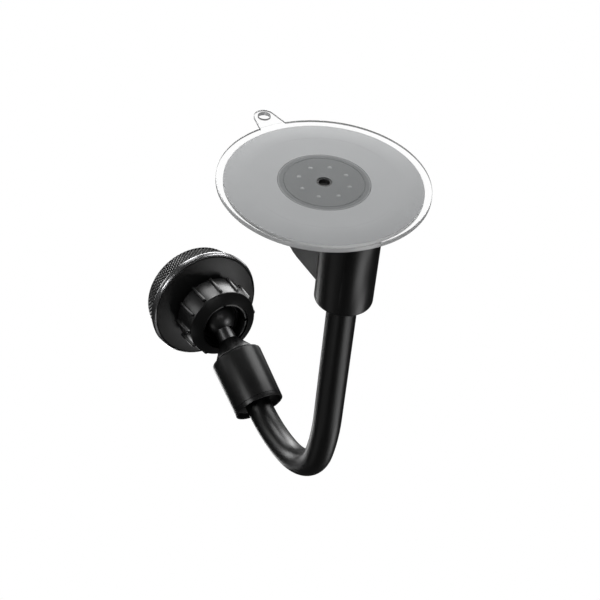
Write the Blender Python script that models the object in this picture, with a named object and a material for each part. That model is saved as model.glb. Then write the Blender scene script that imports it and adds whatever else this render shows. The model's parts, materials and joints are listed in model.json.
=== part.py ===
"""Suction phone mount: gel suction base, gooseneck arm, ball joint and round magnetic head.

The origin is the centre of the suction face, +Z is the direction that the face looks, and the arm hangs
below it in the XZ plane, which is the plane of symmetry. +X is the side of the pull tab.
"""

import math

import bmesh
import bpy
from mathutils import Matrix, Vector

MM = 0.001

# Clearance left between neighbouring pieces
FIT = 0.3 * MM

# Suction pad
CUP_RADIUS = 40.0 * MM
GEL_SKIN = 0.5 * MM
GEL_RIM_HEIGHT = 2.0 * MM
GEL_RIM_WIDTH = 2.4 * MM
GEL_HOLE_RADIUS = 2.6 * MM
TAB_REACH = 11.0 * MM
TAB_BASE_WIDTH = 11.3 * MM
TAB_HEAD_RADIUS = 4.0 * MM
TAB_HOLE_RADIUS = 2.5 * MM
TAB_THICKNESS = 1.6 * MM
MEMBRANE_THICKNESS = 1.6 * MM

# Pull stem
FLANGE_RADIUS = 17.4 * MM
FLANGE_THICKNESS = 1.8 * MM
KEY_HOLE_COUNT = 8
KEY_HOLE_RING = 9.6 * MM
KEY_HOLE_RADIUS = 1.0 * MM
DIMPLE_RADIUS = 2.2 * MM
DIMPLE_DEPTH = 1.3 * MM
STEM_RADIUS = 3.0 * MM
BLADE_THICKNESS = 3.6 * MM
BLADE_OVERLAP = 3.8 * MM

# Base housing with its neck and the cheeks beside the lever
HOUSING_RADIUS = 31.0 * MM
HOUSING_WALL = 2.4 * MM
SKIRT_HEIGHT = 3.3 * MM
DOME_DEPTH = 18.3 * MM
DOME_TOP_RADIUS = 14.0 * MM
CHEEK_GAP = 10.0 * MM
CHEEK_THICKNESS = 2.0 * MM
CHEEK_DEPTH = 35.9 * MM
CHEEK_ARC_RADIUS = 17.0 * MM
CHEEK_ARC_START = 2.5 * MM
NECK_OFFSET = 21.57 * MM
NECK_RADIUS = 11.18 * MM
NECK_DEPTH = 40.0 * MM
NECK_EDGE_ROUND = 1.0 * MM
NECK_BORE_DEPTH = 24.0 * MM

# Lever, its cam and its pin
CAM_PLATE_THICKNESS = 1.0 * MM
CAM_PLATE_LENGTH = 13.0 * MM
CAM_LOW_RADIUS = 5.6 * MM
LOCK_STROKE = 2.4 * MM
LEVER_SWING = math.radians(90)
LEVER_REACH = 38.0 * MM
LEVER_ROOT_START = 8.4 * MM
LEVER_ROOT_THICKNESS = 9.0 * MM
LEVER_BEND_THICKNESS = 6.75 * MM
LEVER_WAIST_THICKNESS = 4.2 * MM
LEVER_TIP_THICKNESS = 3.2 * MM
LEVER_PAD_WIDTH = 18.0 * MM
LEVER_PAD_LENGTH = 14.0 * MM
LEVER_DOME_GAP = 2.2 * MM
PIN_RADIUS = 1.5 * MM

# Return spring
SPRING_RADIUS = 8.0 * MM
SPRING_WIRE_RADIUS = 0.6 * MM
SPRING_TURNS = 4.5

# Gooseneck arm: straight run, then bends given as radius and length along the centreline
ARM_RADIUS = 5.83 * MM
SLEEVE_WALL = 1.3 * MM
ARM_STRAIGHT = 62.66 * MM
ARM_BENDS = ((100.0 * MM, 23.8 * MM), (29.9 * MM, 35.5 * MM), (48.8 * MM, 26.25 * MM))
ARM_LINKS = 8
FIRST_HINGE = 12.0 * MM
LAST_HINGE_BACK = 13.0 * MM
KNUCKLE_BULGE = 1.2 * MM

# Fixing of the arm in the neck
FERRULE_LENGTH = 11.7 * MM
FERRULE_GRIP = 6.0 * MM
NECK_SCREW_RADIUS = 1.5 * MM
NECK_SCREW_HEAD_RADIUS = 3.0 * MM
NECK_SCREW_HEAD_HEIGHT = 1.8 * MM
NECK_FLOOR = 4.0 * MM

# Collar at the end of the arm
COLLAR_LENGTH = 26.3 * MM
COLLAR_FOOT_RADIUS = 11.34 * MM
COLLAR_TOP_RADIUS = 11.75 * MM
COLLAR_EDGE_ROUND = 1.0 * MM
SLEEVE_GRIP = 8.0 * MM
TIP_FERRULE_RADIUS = 7.5 * MM
TIP_FERRULE_LENGTH = 13.4 * MM
CORE_GRIP = 3.4 * MM

# Ball stud
BALL_RADIUS = 8.5 * MM
STUD_NECK_RADIUS = 4.1 * MM
STUD_NECK_LENGTH = 5.45 * MM
STUD_CONE_LENGTH = 8.0 * MM
STUD_CONE_RADIUS = 9.4 * MM
STUD_SHANK_RADIUS = 3.5 * MM
STUD_SHANK_LENGTH = 13.0 * MM
HEAD_TILT = math.radians(30.9)

# Socket round the ball, measured from the ball's centre towards the phone
SEAT_WALL = 1.1 * MM
SEAT_LIP = 3.2 * MM
SEAT_DEPTH = 6.0 * MM
COLLET_WALL = 2.4 * MM
COLLET_BEAD = 0.7 * MM
COLLET_LIP = 8.2 * MM
COLLET_TAPER = 3.4 * MM
COLLET_FLANGE_RADIUS = 16.0 * MM
COLLET_FLANGE_THICKNESS = 1.8 * MM
COLLET_SLOT_WIDTH = 1.2 * MM
COLLET_SLOT_DEPTH = 9.2 * MM
COLLET_SLOT_CUTS = 2

# Lock nut
NUT_MOUTH_RADIUS = 11.27 * MM
NUT_FACE_RADIUS = 16.13 * MM
NUT_REAR_RADIUS = 16.7 * MM
NUT_MOUTH_LAND = 0.7 * MM
NUT_FACE_RISE = 2.9 * MM
NUT_REAR = 6.4 * MM
RIB_COUNT = 12
RIB_WIDTH = 1.6 * MM
RIB_CREST_WIDTH = 1.1 * MM
RIB_HEIGHT = 0.9 * MM

# Head
PLATE_HUB = 9.4 * MM
PLATE_EDGE = 11.45 * MM
PLATE_RADIUS = 24.9 * MM
PLATE_THICKNESS = 1.75 * MM
PLATE_SKIRT_HEIGHT = 2.0 * MM
PLATE_SKIRT_WALL = 1.4 * MM
TRIM_WIDTH = 0.4 * MM
TRIM_FLARE = 0.76 * MM
TRIM_HEIGHT = 2.15 * MM
BEZEL_HEIGHT = 10.8 * MM
BEZEL_TAPER = 2.9 * MM
BEZEL_WALL = 4.0 * MM
BEZEL_LIP = 1.1 * MM
BEZEL_LIP_HEIGHT = 1.2 * MM
YOKE_THICKNESS = 1.7 * MM
MAGNET_COUNT = 6
MAGNET_HEIGHT = 4.3 * MM
MAGNET_INNER_RADIUS = 13.5 * MM
MAGNET_GAP = 1.0 * MM
FRONT_PLATE_THICKNESS = 0.9 * MM
PAD_PROUD = 0.4 * MM
YOKE_SCREW_COUNT = 3
YOKE_SCREW_RING = 9.0 * MM
YOKE_SCREW_TURN = math.radians(32)
YOKE_SCREW_RADIUS = 1.1 * MM
YOKE_SCREW_HEAD_RADIUS = 2.3 * MM
YOKE_SCREW_HEAD_HEIGHT = 1.6 * MM
YOKE_SCREW_BITE = 3.6 * MM

# Facets of round pieces
FINE_SIDES = 64
ROUND_SIDES = 48
MEDIUM_SIDES = 36
SMALL_SIDES = 24
TINY_SIDES = 12
SMOOTH_ANGLE = math.radians(35)

# Levels of the base, below the suction face
CUP_FACE = -(GEL_SKIN + FIT)
CUP_BACK = CUP_FACE - MEMBRANE_THICKNESS
FLANGE_BACK = CUP_FACE - FLANGE_THICKNESS
HOUSING_FOOT = min(CUP_BACK, -GEL_RIM_HEIGHT) - FIT
SKIRT_TOP = HOUSING_FOOT - SKIRT_HEIGHT
DOME_TOP = -DOME_DEPTH
DOME_CEILING = DOME_TOP + HOUSING_WALL
CAM_FACE = DOME_TOP - FIT - CAM_PLATE_THICKNESS
PIN_LEVEL = CAM_FACE - FIT - CAM_LOW_RADIUS
NECK_END = -NECK_DEPTH
NECK_BORE_TOP = NECK_END + NECK_BORE_DEPTH
BORE_RADIUS = ARM_RADIUS + FIT
CORE_RADIUS = ARM_RADIUS - SLEEVE_WALL - FIT

# Levels of the socket and head, from the ball's centre
SEAT_INNER = BALL_RADIUS + FIT
SEAT_OUTER = SEAT_INNER + SEAT_WALL
COLLET_INNER = SEAT_OUTER + FIT
COLLET_RADIUS = COLLET_INNER + COLLET_WALL
PLATE_FRONT = PLATE_EDGE + PLATE_THICKNESS
COLLET_BASE = PLATE_FRONT + FIT + COLLET_FLANGE_THICKNESS
SKIRT_END = PLATE_FRONT + PLATE_SKIRT_HEIGHT
TRIM_INNER = PLATE_RADIUS + FIT
TRIM_FRONT = PLATE_EDGE + TRIM_HEIGHT
BEZEL_REAR_RADIUS = TRIM_INNER + TRIM_WIDTH + TRIM_FLARE
BEZEL_INNER = BEZEL_REAR_RADIUS - BEZEL_WALL
BEZEL_REAR = TRIM_FRONT + FIT
BEZEL_FRONT = BEZEL_REAR + BEZEL_HEIGHT
YOKE_BACK = max(COLLET_BASE, SKIRT_END) + FIT
YOKE_FRONT = YOKE_BACK + YOKE_THICKNESS
MAGNET_BACK = YOKE_FRONT + FIT
MAGNET_FRONT = MAGNET_BACK + MAGNET_HEIGHT
FRONT_PLATE_BACK = MAGNET_FRONT + FIT
FRONT_PLATE_FRONT = FRONT_PLATE_BACK + FRONT_PLATE_THICKNESS
BEZEL_LIP_BACK = BEZEL_FRONT - BEZEL_LIP_HEIGHT
STACK_RADIUS = BEZEL_INNER - FIT


def clear_scene():
    for old in list(bpy.data.objects):
        bpy.data.objects.remove(old, do_unlink=True)


def finish(name, colour, roughness, metallic=0.0, alpha=1.0):
    """A plain material with the piece's own colour and sheen."""
    material = bpy.data.materials.new(name)
    material.use_nodes = True
    shader = material.node_tree.nodes["Principled BSDF"]
    shader.inputs["Base Color"].default_value = (*colour, 1.0)
    shader.inputs["Roughness"].default_value = roughness
    shader.inputs["Metallic"].default_value = metallic
    shader.inputs["Alpha"].default_value = alpha
    return material


def new_piece(name, bm, material, parent=None):
    """Turns a bmesh into a named object with its faces pointing out."""
    bmesh.ops.remove_doubles(bm, verts=bm.verts, dist=1e-7)
    bmesh.ops.recalc_face_normals(bm, faces=bm.faces)
    mesh = bpy.data.meshes.new(name)
    bm.to_mesh(mesh)
    bm.free()
    mesh.shade_smooth()
    mesh.set_sharp_from_angle(angle=SMOOTH_ANGLE)
    piece = bpy.data.objects.new(name, mesh)
    bpy.context.scene.collection.objects.link(piece)
    if material:
        mesh.materials.append(material)
    piece.parent = parent
    return piece


def pivot(name, parent=None, location=(0, 0, 0), turn=0.0):
    """An empty on a joint's axis, turned about Y."""
    empty = bpy.data.objects.new(name, None)
    empty.empty_display_size = CUP_RADIUS / 4
    bpy.context.scene.collection.objects.link(empty)
    empty.parent = parent
    empty.location = location
    empty.rotation_euler = (0, turn, 0)
    return empty


def spun(outline, sides):
    """Bmesh of an outline of (radius, height) points turned about Z. An outline that starts and ends on
    the axis stays open there."""
    bm = bmesh.new()
    points = [bm.verts.new((radius, 0, height)) for radius, height in outline]
    runs = list(zip(points, points[1:]))
    if outline[0][0] > 0 or outline[-1][0] > 0:
        runs.append((points[-1], points[0]))
    edges = [bm.edges.new(run) for run in runs]
    bmesh.ops.spin(
        bm, geom=points + edges, cent=(0, 0, 0), axis=(0, 0, 1), angle=2 * math.pi, steps=sides, use_merge=True
    )
    return bm


def lathe(name, outline, material, sides=ROUND_SIDES, parent=None):
    return new_piece(name, spun(outline, sides), material, parent)


def slab(outline, low, high, upright=False):
    """Bmesh of a flat outline pushed from low to high along Z, or along Y for an upright (x, z) outline."""
    bm = bmesh.new()
    if upright:
        start = [bm.verts.new((x, low, z)) for x, z in outline]
        push = Vector((0, high - low, 0))
    else:
        start = [bm.verts.new((x, y, low)) for x, y in outline]
        push = Vector((0, 0, high - low))
    face = bm.faces.new(start)
    grown = bmesh.ops.extrude_face_region(bm, geom=[face])["geom"]
    bmesh.ops.translate(bm, vec=push, verts=[v for v in grown if isinstance(v, bmesh.types.BMVert)])
    return bm


def rectangle(x_low, x_high, y_low, y_high):
    return [(x_low, y_low), (x_high, y_low), (x_high, y_high), (x_low, y_high)]


def arc(centre, radius, start, end, steps):
    """Points of an arc in a plane, angles in radians."""
    turns = [start + (end - start) * step / steps for step in range(steps + 1)]
    return [(centre[0] + radius * math.cos(t), centre[1] + radius * math.sin(t)) for t in turns]


def rod_outline(radius, low, high):
    return [(0, high), (radius, high), (radius, low), (0, low)]


def rod(radius, low, high, sides=SMALL_SIDES):
    return spun(rod_outline(radius, low, high), sides)


def helper(name, bm, parent=None):
    """A cutter or a joined shape, which isn't a piece of its own."""
    shape = new_piece(name, bm, None, parent)
    shape.hide_render = True
    shape.display_type = "WIRE"
    return shape


def combine(piece, other, operation):
    modifier = piece.modifiers.new(other.name, "BOOLEAN")
    modifier.operation = operation
    modifier.solver = "EXACT"
    modifier.object = other


def move(bm, offset):
    bmesh.ops.translate(bm, vec=Vector(offset), verts=bm.verts)
    return bm


def gather(shapes):
    """One bmesh that holds the shapes of several."""
    whole = bmesh.new()
    for shape in shapes:
        holder = bpy.data.meshes.new("holder")
        shape.to_mesh(holder)
        shape.free()
        whole.from_mesh(holder)
        bpy.data.meshes.remove(holder)
    return whole


def ring_of(count, radius, outline, start):
    """Copies of a small turned shape, evenly round the Z axis."""
    shapes = []
    for number in range(count):
        turn = start + 2 * math.pi * number / count
        place = (radius * math.cos(turn), radius * math.sin(turn), 0)
        shapes.append(move(spun(outline, TINY_SIDES), place))
    return shapes


# Suction pad


def gel_pad():
    skin = -GEL_SKIN
    inner = CUP_RADIUS - GEL_RIM_WIDTH
    outline = [(GEL_HOLE_RADIUS, 0), (CUP_RADIUS, 0), (CUP_RADIUS, -GEL_RIM_HEIGHT)]
    outline += [(inner, -GEL_RIM_HEIGHT), (inner, skin), (GEL_HOLE_RADIUS, skin)]
    pad = lathe("gel_pad", outline, finish("clear_gel", (0.9, 0.92, 0.92), 0.1, alpha=0.3), FINE_SIDES)
    head = CUP_RADIUS + TAB_REACH - TAB_HEAD_RADIUS
    root = CUP_RADIUS - GEL_RIM_WIDTH / 2
    half = TAB_BASE_WIDTH / 2
    lean = math.atan2(half - TAB_HEAD_RADIUS, head - root)
    tab = [(root, -half)]
    tab += arc((head, 0), TAB_HEAD_RADIUS, lean - math.pi / 2, math.pi / 2 - lean, 14)
    tab += [(root, half)]
    tab_low = -(GEL_RIM_HEIGHT + TAB_THICKNESS) / 2
    combine(pad, helper("tab_shape", slab(tab, tab_low, tab_low + TAB_THICKNESS)), "UNION")
    hole = move(rod(TAB_HOLE_RADIUS, -2 * GEL_RIM_HEIGHT, GEL_RIM_HEIGHT), (head, 0, 0))
    combine(pad, helper("tab_hole", hole), "DIFFERENCE")


def suction_cup():
    outer = CUP_RADIUS - GEL_RIM_WIDTH - FIT
    inner = FLANGE_RADIUS + FIT
    outline = [(inner, CUP_FACE), (outer, CUP_FACE), (outer, CUP_BACK), (inner, CUP_BACK)]
    lathe("suction_cup", outline, finish("grey_silicone", (0.36, 0.37, 0.38), 0.45), FINE_SIDES)


# Pull stem and lever


def pull_stem(stem_pivot):
    """Flange, shaft and the flat blade that carries the lever's pin."""
    blade_end = PIN_LEVEL - BLADE_OVERLAP
    blade_top = CAM_FACE + CAM_PLATE_THICKNESS + LOCK_STROKE
    floor = CUP_FACE - DIMPLE_DEPTH
    outline = [(0, floor), (DIMPLE_RADIUS, floor), (DIMPLE_RADIUS, CUP_FACE), (FLANGE_RADIUS, CUP_FACE)]
    outline += [(FLANGE_RADIUS, FLANGE_BACK), (STEM_RADIUS, FLANGE_BACK), (STEM_RADIUS, blade_end), (0, blade_end)]
    stem = lathe("pull_stem", outline, finish("stem_plastic", (0.2, 0.21, 0.21), 0.5), FINE_SIDES, stem_pivot)
    half_facet = math.pi / FINE_SIDES
    key = rod_outline(KEY_HOLE_RADIUS, 2 * FLANGE_BACK, FIT)
    keys = gather(ring_of(KEY_HOLE_COUNT, KEY_HOLE_RING, key, half_facet))
    combine(stem, helper("key_holes", keys, stem_pivot), "DIFFERENCE")
    wide = 2 * STEM_RADIUS
    for side in (-1, 1):
        near = side * BLADE_THICKNESS / 2
        far = side * wide
        outline = rectangle(-wide, wide, min(near, far), max(near, far))
        cut = slab(outline, blade_end - FIT, blade_top)
        combine(stem, helper(f"blade_flat_{side}", cut, stem_pivot), "DIFFERENCE")
    eye = rod(PIN_RADIUS + FIT, -wide, wide)
    bmesh.ops.rotate(eye, matrix=Matrix.Rotation(math.pi / 2, 3, "X"), verts=eye.verts)
    combine(stem, helper("pin_eye", move(eye, (0, 0, PIN_LEVEL)), stem_pivot), "DIFFERENCE")


def lever_pin(lever_pivot):
    half = CHEEK_GAP / 2 - 2 * FIT
    pin = rod(PIN_RADIUS, -half, half)
    bmesh.ops.rotate(pin, matrix=Matrix.Rotation(math.pi / 2, 3, "X"), verts=pin.verts)
    new_piece("lever_pin", pin, finish("pin_steel", (0.6, 0.6, 0.6), 0.3, 1.0), lever_pivot)


def cam_outline():
    """Cam round the pin, as (x, z) points. A flat plate touching it is pushed away evenly as the lever swings,
    so the rising part is an involute; past the lock it falls away again."""
    rise = LOCK_STROKE / LEVER_SWING
    points = []
    for degrees in range(-50, 181, 10):
        turn = math.radians(degrees)
        reach, slope = CAM_LOW_RADIUS, 0.0
        if 0 < turn <= LEVER_SWING:
            reach, slope = CAM_LOW_RADIUS + rise * turn, rise
        elif turn > LEVER_SWING:
            past = turn - LEVER_SWING
            span = math.pi - LEVER_SWING
            reach = CAM_LOW_RADIUS + LOCK_STROKE + rise * past - rise * past * past / span
            slope = rise - 2 * rise * past / span
        x = -reach * math.sin(turn) - slope * math.cos(turn)
        z = reach * math.cos(turn) - slope * math.sin(turn)
        points.append((x, z))
    return points


def lever_outline():
    """Side view of the lever round its pin: the cam, then the arm that lies along the dome to a raised tip."""
    slope = math.atan2(SKIRT_TOP - DOME_TOP, HOUSING_RADIUS - DOME_TOP_RADIUS)
    lift = LEVER_DOME_GAP / math.cos(slope)
    under_bend = (DOME_TOP_RADIUS, DOME_TOP - lift - PIN_LEVEL)
    middle = (DOME_TOP_RADIUS + LEVER_REACH - LEVER_PAD_LENGTH) / 2 + LEVER_PAD_LENGTH / 4
    under_middle = (middle, under_bend[1] + (middle - DOME_TOP_RADIUS) * math.tan(slope))
    under_tip = (LEVER_REACH, under_middle[1] + (LEVER_REACH - middle) * math.tan(slope) / 2)
    cam = cam_outline()
    outer_root = (LEVER_ROOT_START, under_bend[1] - LEVER_ROOT_THICKNESS)
    outer_bend = (DOME_TOP_RADIUS + LEVER_ROOT_THICKNESS / 3, under_bend[1] - LEVER_BEND_THICKNESS)
    outer_middle = (middle + LEVER_TIP_THICKNESS, under_middle[1] - LEVER_WAIST_THICKNESS)
    outer_tip = (LEVER_REACH, under_tip[1] - LEVER_TIP_THICKNESS)
    nose = (LEVER_REACH + LEVER_TIP_THICKNESS / 3, under_tip[1] - LEVER_TIP_THICKNESS / 2)
    return cam + [outer_root, outer_bend, outer_middle, outer_tip, nose, under_tip, under_middle, under_bend]


def locking_lever(lever_pivot):
    """Lever as wide as its finger pad, narrowed between the cheeks and slotted for the stem's blade."""
    half = CHEEK_GAP / 2 - 2 * FIT
    wide = LEVER_PAD_WIDTH / 2
    far = 2 * LEVER_REACH
    black = finish("lever_plastic", (0.02, 0.02, 0.02), 0.4)
    lever = new_piece("locking_lever", slab(lever_outline(), -wide, wide, upright=True), black, lever_pivot)
    pad_start = LEVER_REACH - LEVER_PAD_LENGTH
    for side in (-1, 1):
        near, outer = side * half, side * 2 * wide
        cut = slab(rectangle(-far, pad_start, min(near, outer), max(near, outer)), -far, far)
        combine(lever, helper(f"lever_side_{side}", cut, lever_pivot), "DIFFERENCE")
    slot_half = BLADE_THICKNESS / 2 + FIT
    slot_end = math.hypot(STEM_RADIUS, BLADE_OVERLAP) + 3 * FIT
    slot = slab(rectangle(-far, slot_end, -slot_half, slot_half), -far, far)
    combine(lever, helper("blade_slot", slot, lever_pivot), "DIFFERENCE")
    eye = rod(PIN_RADIUS + FIT, -2 * wide, 2 * wide)
    bmesh.ops.rotate(eye, matrix=Matrix.Rotation(math.pi / 2, 3, "X"), verts=eye.verts)
    combine(lever, helper("lever_eye", eye, lever_pivot), "DIFFERENCE")


def cam_plate():
    half = CHEEK_GAP / 2 - 2 * FIT
    outline = rectangle(-CAM_PLATE_LENGTH / 2, CAM_PLATE_LENGTH / 2, -half, half)
    steel = finish("plate_steel", (0.55, 0.55, 0.56), 0.35, 1.0)
    plate = new_piece("cam_plate", slab(outline, CAM_FACE, CAM_FACE + CAM_PLATE_THICKNESS), steel)
    hole = rod(STEM_RADIUS + FIT, 2 * CAM_FACE, 0)
    combine(plate, helper("cam_plate_hole", hole), "DIFFERENCE")


def return_spring():
    """Coil between the flange and the dome's ceiling, with its ends wound on the same helix."""
    low = DOME_CEILING + FIT + SPRING_WIRE_RADIUS
    high = FLANGE_BACK - FIT - SPRING_WIRE_RADIUS
    steps = int(SPRING_TURNS * TINY_SIDES)
    curve = bpy.data.curves.new("return_spring", "CURVE")
    curve.dimensions = "3D"
    curve.bevel_depth = SPRING_WIRE_RADIUS
    curve.bevel_resolution = 1
    curve.use_fill_caps = True
    run = curve.splines.new("POLY")
    run.points.add(steps)
    for step, point in enumerate(run.points):
        turn = 2 * math.pi * step / TINY_SIDES
        height = low + (high - low) * step / steps
        point.co = (SPRING_RADIUS * math.cos(turn), SPRING_RADIUS * math.sin(turn), height, 1)
    curve.materials.append(finish("spring_steel", (0.5, 0.5, 0.5), 0.3, 1.0))
    spring = bpy.data.objects.new("return_spring", curve)
    bpy.context.scene.collection.objects.link(spring)


# Base housing and the fixing of the arm


def cheek_outline():
    """Side view of the tower's cheeks: level along the foot, then an arc down to the dome."""
    centre = (CHEEK_ARC_START, -CHEEK_DEPTH + CHEEK_ARC_RADIUS)
    base = (HOUSING_FOOT + SKIRT_TOP) / 2
    points = [(-NECK_OFFSET, base), (-NECK_OFFSET, -CHEEK_DEPTH)]
    points += arc(centre, CHEEK_ARC_RADIUS, -math.pi / 2, 0, 8)
    points.append((CHEEK_ARC_START + CHEEK_ARC_RADIUS, base))
    return points


def base_housing():
    black = finish("housing_plastic", (0.02, 0.02, 0.02), 0.4)
    dome = [(0, HOUSING_FOOT), (HOUSING_RADIUS, HOUSING_FOOT), (HOUSING_RADIUS, SKIRT_TOP)]
    dome += [(DOME_TOP_RADIUS, DOME_TOP), (0, DOME_TOP)]
    housing = lathe("base_housing", dome, black)
    for side in (-1, 1):
        near = side * CHEEK_GAP / 2
        far = near + side * CHEEK_THICKNESS
        cheek = slab(cheek_outline(), min(near, far), max(near, far), upright=True)
        combine(housing, helper(f"cheek_{side}", cheek), "UNION")
    round_start = NECK_RADIUS - NECK_EDGE_ROUND
    neck_top = (HOUSING_FOOT + SKIRT_TOP) / 2
    neck = [(0, neck_top), (NECK_RADIUS, neck_top)]
    corner = arc((round_start, NECK_END + NECK_EDGE_ROUND), NECK_EDGE_ROUND, 0, -math.pi / 2, 3)
    neck += corner + [(0, NECK_END)]
    neck_place = (-NECK_OFFSET, 0, 0)
    combine(housing, helper("neck_shape", move(spun(neck, ROUND_SIDES), neck_place)), "UNION")
    hole = STEM_RADIUS + FIT
    cavity_radius = HOUSING_RADIUS - HOUSING_WALL
    cavity = [(0, HOUSING_FOOT + HOUSING_WALL), (cavity_radius, HOUSING_FOOT + HOUSING_WALL)]
    cavity += [(cavity_radius, SKIRT_TOP + HOUSING_WALL / 2)]
    cavity += [(DOME_TOP_RADIUS - HOUSING_WALL / 2, DOME_CEILING), (hole, DOME_CEILING)]
    cavity += [(hole, DOME_TOP - HOUSING_WALL), (0, DOME_TOP - HOUSING_WALL)]
    combine(housing, helper("cavity", spun(cavity, ROUND_SIDES)), "DIFFERENCE")
    seat = NECK_BORE_TOP + NECK_FLOOR
    bore = [(0, 0), (NECK_SCREW_HEAD_RADIUS + FIT, 0), (NECK_SCREW_HEAD_RADIUS + FIT, seat)]
    bore += [(NECK_SCREW_RADIUS + FIT, seat), (NECK_SCREW_RADIUS + FIT, NECK_BORE_TOP)]
    bore += [(BORE_RADIUS, NECK_BORE_TOP), (BORE_RADIUS, NECK_END - NECK_EDGE_ROUND)]
    bore += [(0, NECK_END - NECK_EDGE_ROUND)]
    combine(housing, helper("neck_bore", move(spun(bore, ROUND_SIDES), neck_place)), "DIFFERENCE")


def neck_fixing():
    """Steel ferrule on the arm's core, and the screw that holds it in the neck."""
    seat = NECK_BORE_TOP + NECK_FLOOR
    top = NECK_BORE_TOP - FIT
    low = top - FERRULE_LENGTH
    socket = CORE_RADIUS + FIT
    thread = NECK_SCREW_RADIUS + FIT
    grip = low + FERRULE_GRIP
    steel = finish("ferrule_steel", (0.55, 0.55, 0.56), 0.4, 1.0)
    ferrule = [(thread, top), (ARM_RADIUS, top), (ARM_RADIUS, low), (socket, low), (socket, grip), (thread, grip)]
    place = pivot("neck_axis", location=(-NECK_OFFSET, 0, 0))
    lathe("root_ferrule", ferrule, steel, SMALL_SIDES, place)
    head_low = seat + FIT
    head_top = head_low + NECK_SCREW_HEAD_HEIGHT
    tip = grip + FIT
    screw = [(0, head_top), (NECK_SCREW_HEAD_RADIUS, head_top), (NECK_SCREW_HEAD_RADIUS, head_low)]
    screw += [(NECK_SCREW_RADIUS, head_low), (NECK_SCREW_RADIUS, tip), (0, tip)]
    lathe("neck_screw", screw, finish("screw_steel", (0.5, 0.5, 0.5), 0.35, 1.0), TINY_SIDES, place)


# Gooseneck arm


def arm_length():
    return ARM_STRAIGHT + sum(length for _, length in ARM_BENDS)


def arm_station(travel):
    """Point and heading of the arm's centreline, travel metres past the neck's end. A heading of zero points
    down, and a positive one turns towards +X."""
    x, z, heading = -NECK_OFFSET, NECK_END, 0.0
    straight = min(travel, ARM_STRAIGHT)
    z -= straight
    left = travel - straight
    for radius, length in ARM_BENDS:
        run = min(left, length)
        turned = heading + run / radius
        x += radius * (math.cos(heading) - math.cos(turned))
        z -= radius * (math.sin(turned) - math.sin(heading))
        heading = turned
        left -= run
    x += left * math.sin(heading)
    z -= left * math.cos(heading)
    return Vector((x, 0, z)), heading


def hinge_travels():
    last = arm_length() - LAST_HINGE_BACK
    gaps = ARM_LINKS - 2
    return [FIRST_HINGE + (last - FIRST_HINGE) * number / gaps for number in range(ARM_LINKS - 1)]


def link_ring(centre, heading, radius, sides):
    """A ring of points square to the arm's heading."""
    across = Vector((math.cos(heading), 0, math.sin(heading)))
    side = Vector((0, 1, 0))
    turns = [2 * math.pi * number / sides for number in range(sides)]
    return [centre + radius * (math.cos(t) * across + math.sin(t) * side) for t in turns]


def knuckle_ring(travel, radius, ball, sides):
    """A ring of the given radius on a sphere round the hinge at this travel, on its side towards the neck."""
    hinge, heading = arm_station(travel)
    along = Vector((math.sin(heading), 0, -math.cos(heading)))
    back = math.sqrt(ball * ball - radius * radius)
    return link_ring(hinge - along * back, heading, radius, sides)


def middle_travels(start, end):
    """Travels of the rings between two ends of a link: few where it's straight, one every few millimetres in a
    bend."""
    clear = ARM_RADIUS / 2
    first, last = start + clear, end - ARM_RADIUS - clear
    step = ARM_RADIUS
    if last < ARM_STRAIGHT:
        step = last - first
    count = max(1, round((last - first) / step))
    return [first + (last - first) * number / count for number in range(count + 1)]


def link_rings(number, radius, ball, sides, start_grip, end_grip):
    """Rings of one skin of a link, from its end near the neck to its far end."""
    travels = hinge_travels()
    begins = number == 0
    ends = number == ARM_LINKS - 1
    start = -start_grip if begins else travels[number - 1]
    end = arm_length() + end_grip if ends else travels[number]
    rings = []
    if begins:
        rings.append(link_ring(*arm_station(start), radius, sides))
    else:
        rings.append(knuckle_ring(start, radius, ball, sides))
    rings += [link_ring(*arm_station(t), radius, sides) for t in middle_travels(start, end)]
    if ends:
        rings.append(link_ring(*arm_station(end), radius, sides))
    else:
        rings.append(knuckle_ring(end, radius, ball + FIT, sides))
    return rings


def skin(bm, rings, closed):
    """Faces between rings of the same count. Closed joins the last ring to the first, otherwise both ends stay
    open."""
    loops = [[bm.verts.new(point) for point in ring] for ring in rings]
    pairs = list(zip(loops, loops[1:]))
    if closed:
        pairs.append((loops[-1], loops[0]))
    for low, high in pairs:
        for spot in range(len(low)):
            after = (spot + 1) % len(low)
            bm.faces.new((low[spot], low[after], high[after], high[spot]))
    return loops


def cap(bm, loop, peak):
    middle = bm.verts.new(peak)
    for spot in range(len(loop)):
        bm.faces.new((loop[spot], loop[(spot + 1) % len(loop)], middle))


def ball_peak(travel, ball):
    hinge, heading = arm_station(travel)
    return hinge - ball * Vector((math.sin(heading), 0, -math.cos(heading)))


def arm_sleeve(number, material, parent, origin):
    ball = ARM_RADIUS + KNUCKLE_BULGE
    bore = ARM_RADIUS - SLEEVE_WALL
    start_grip = NECK_BORE_DEPTH - FIT - FERRULE_LENGTH - FIT
    outer = link_rings(number, ARM_RADIUS, ball, SMALL_SIDES, start_grip, SLEEVE_GRIP)
    inner = link_rings(number, bore, ball, SMALL_SIDES, start_grip, SLEEVE_GRIP)
    bm = bmesh.new()
    skin(bm, outer + inner[::-1], closed=True)
    new_piece(f"arm_sleeve_{number + 1}", move(bm, -origin), material, parent)


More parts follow.
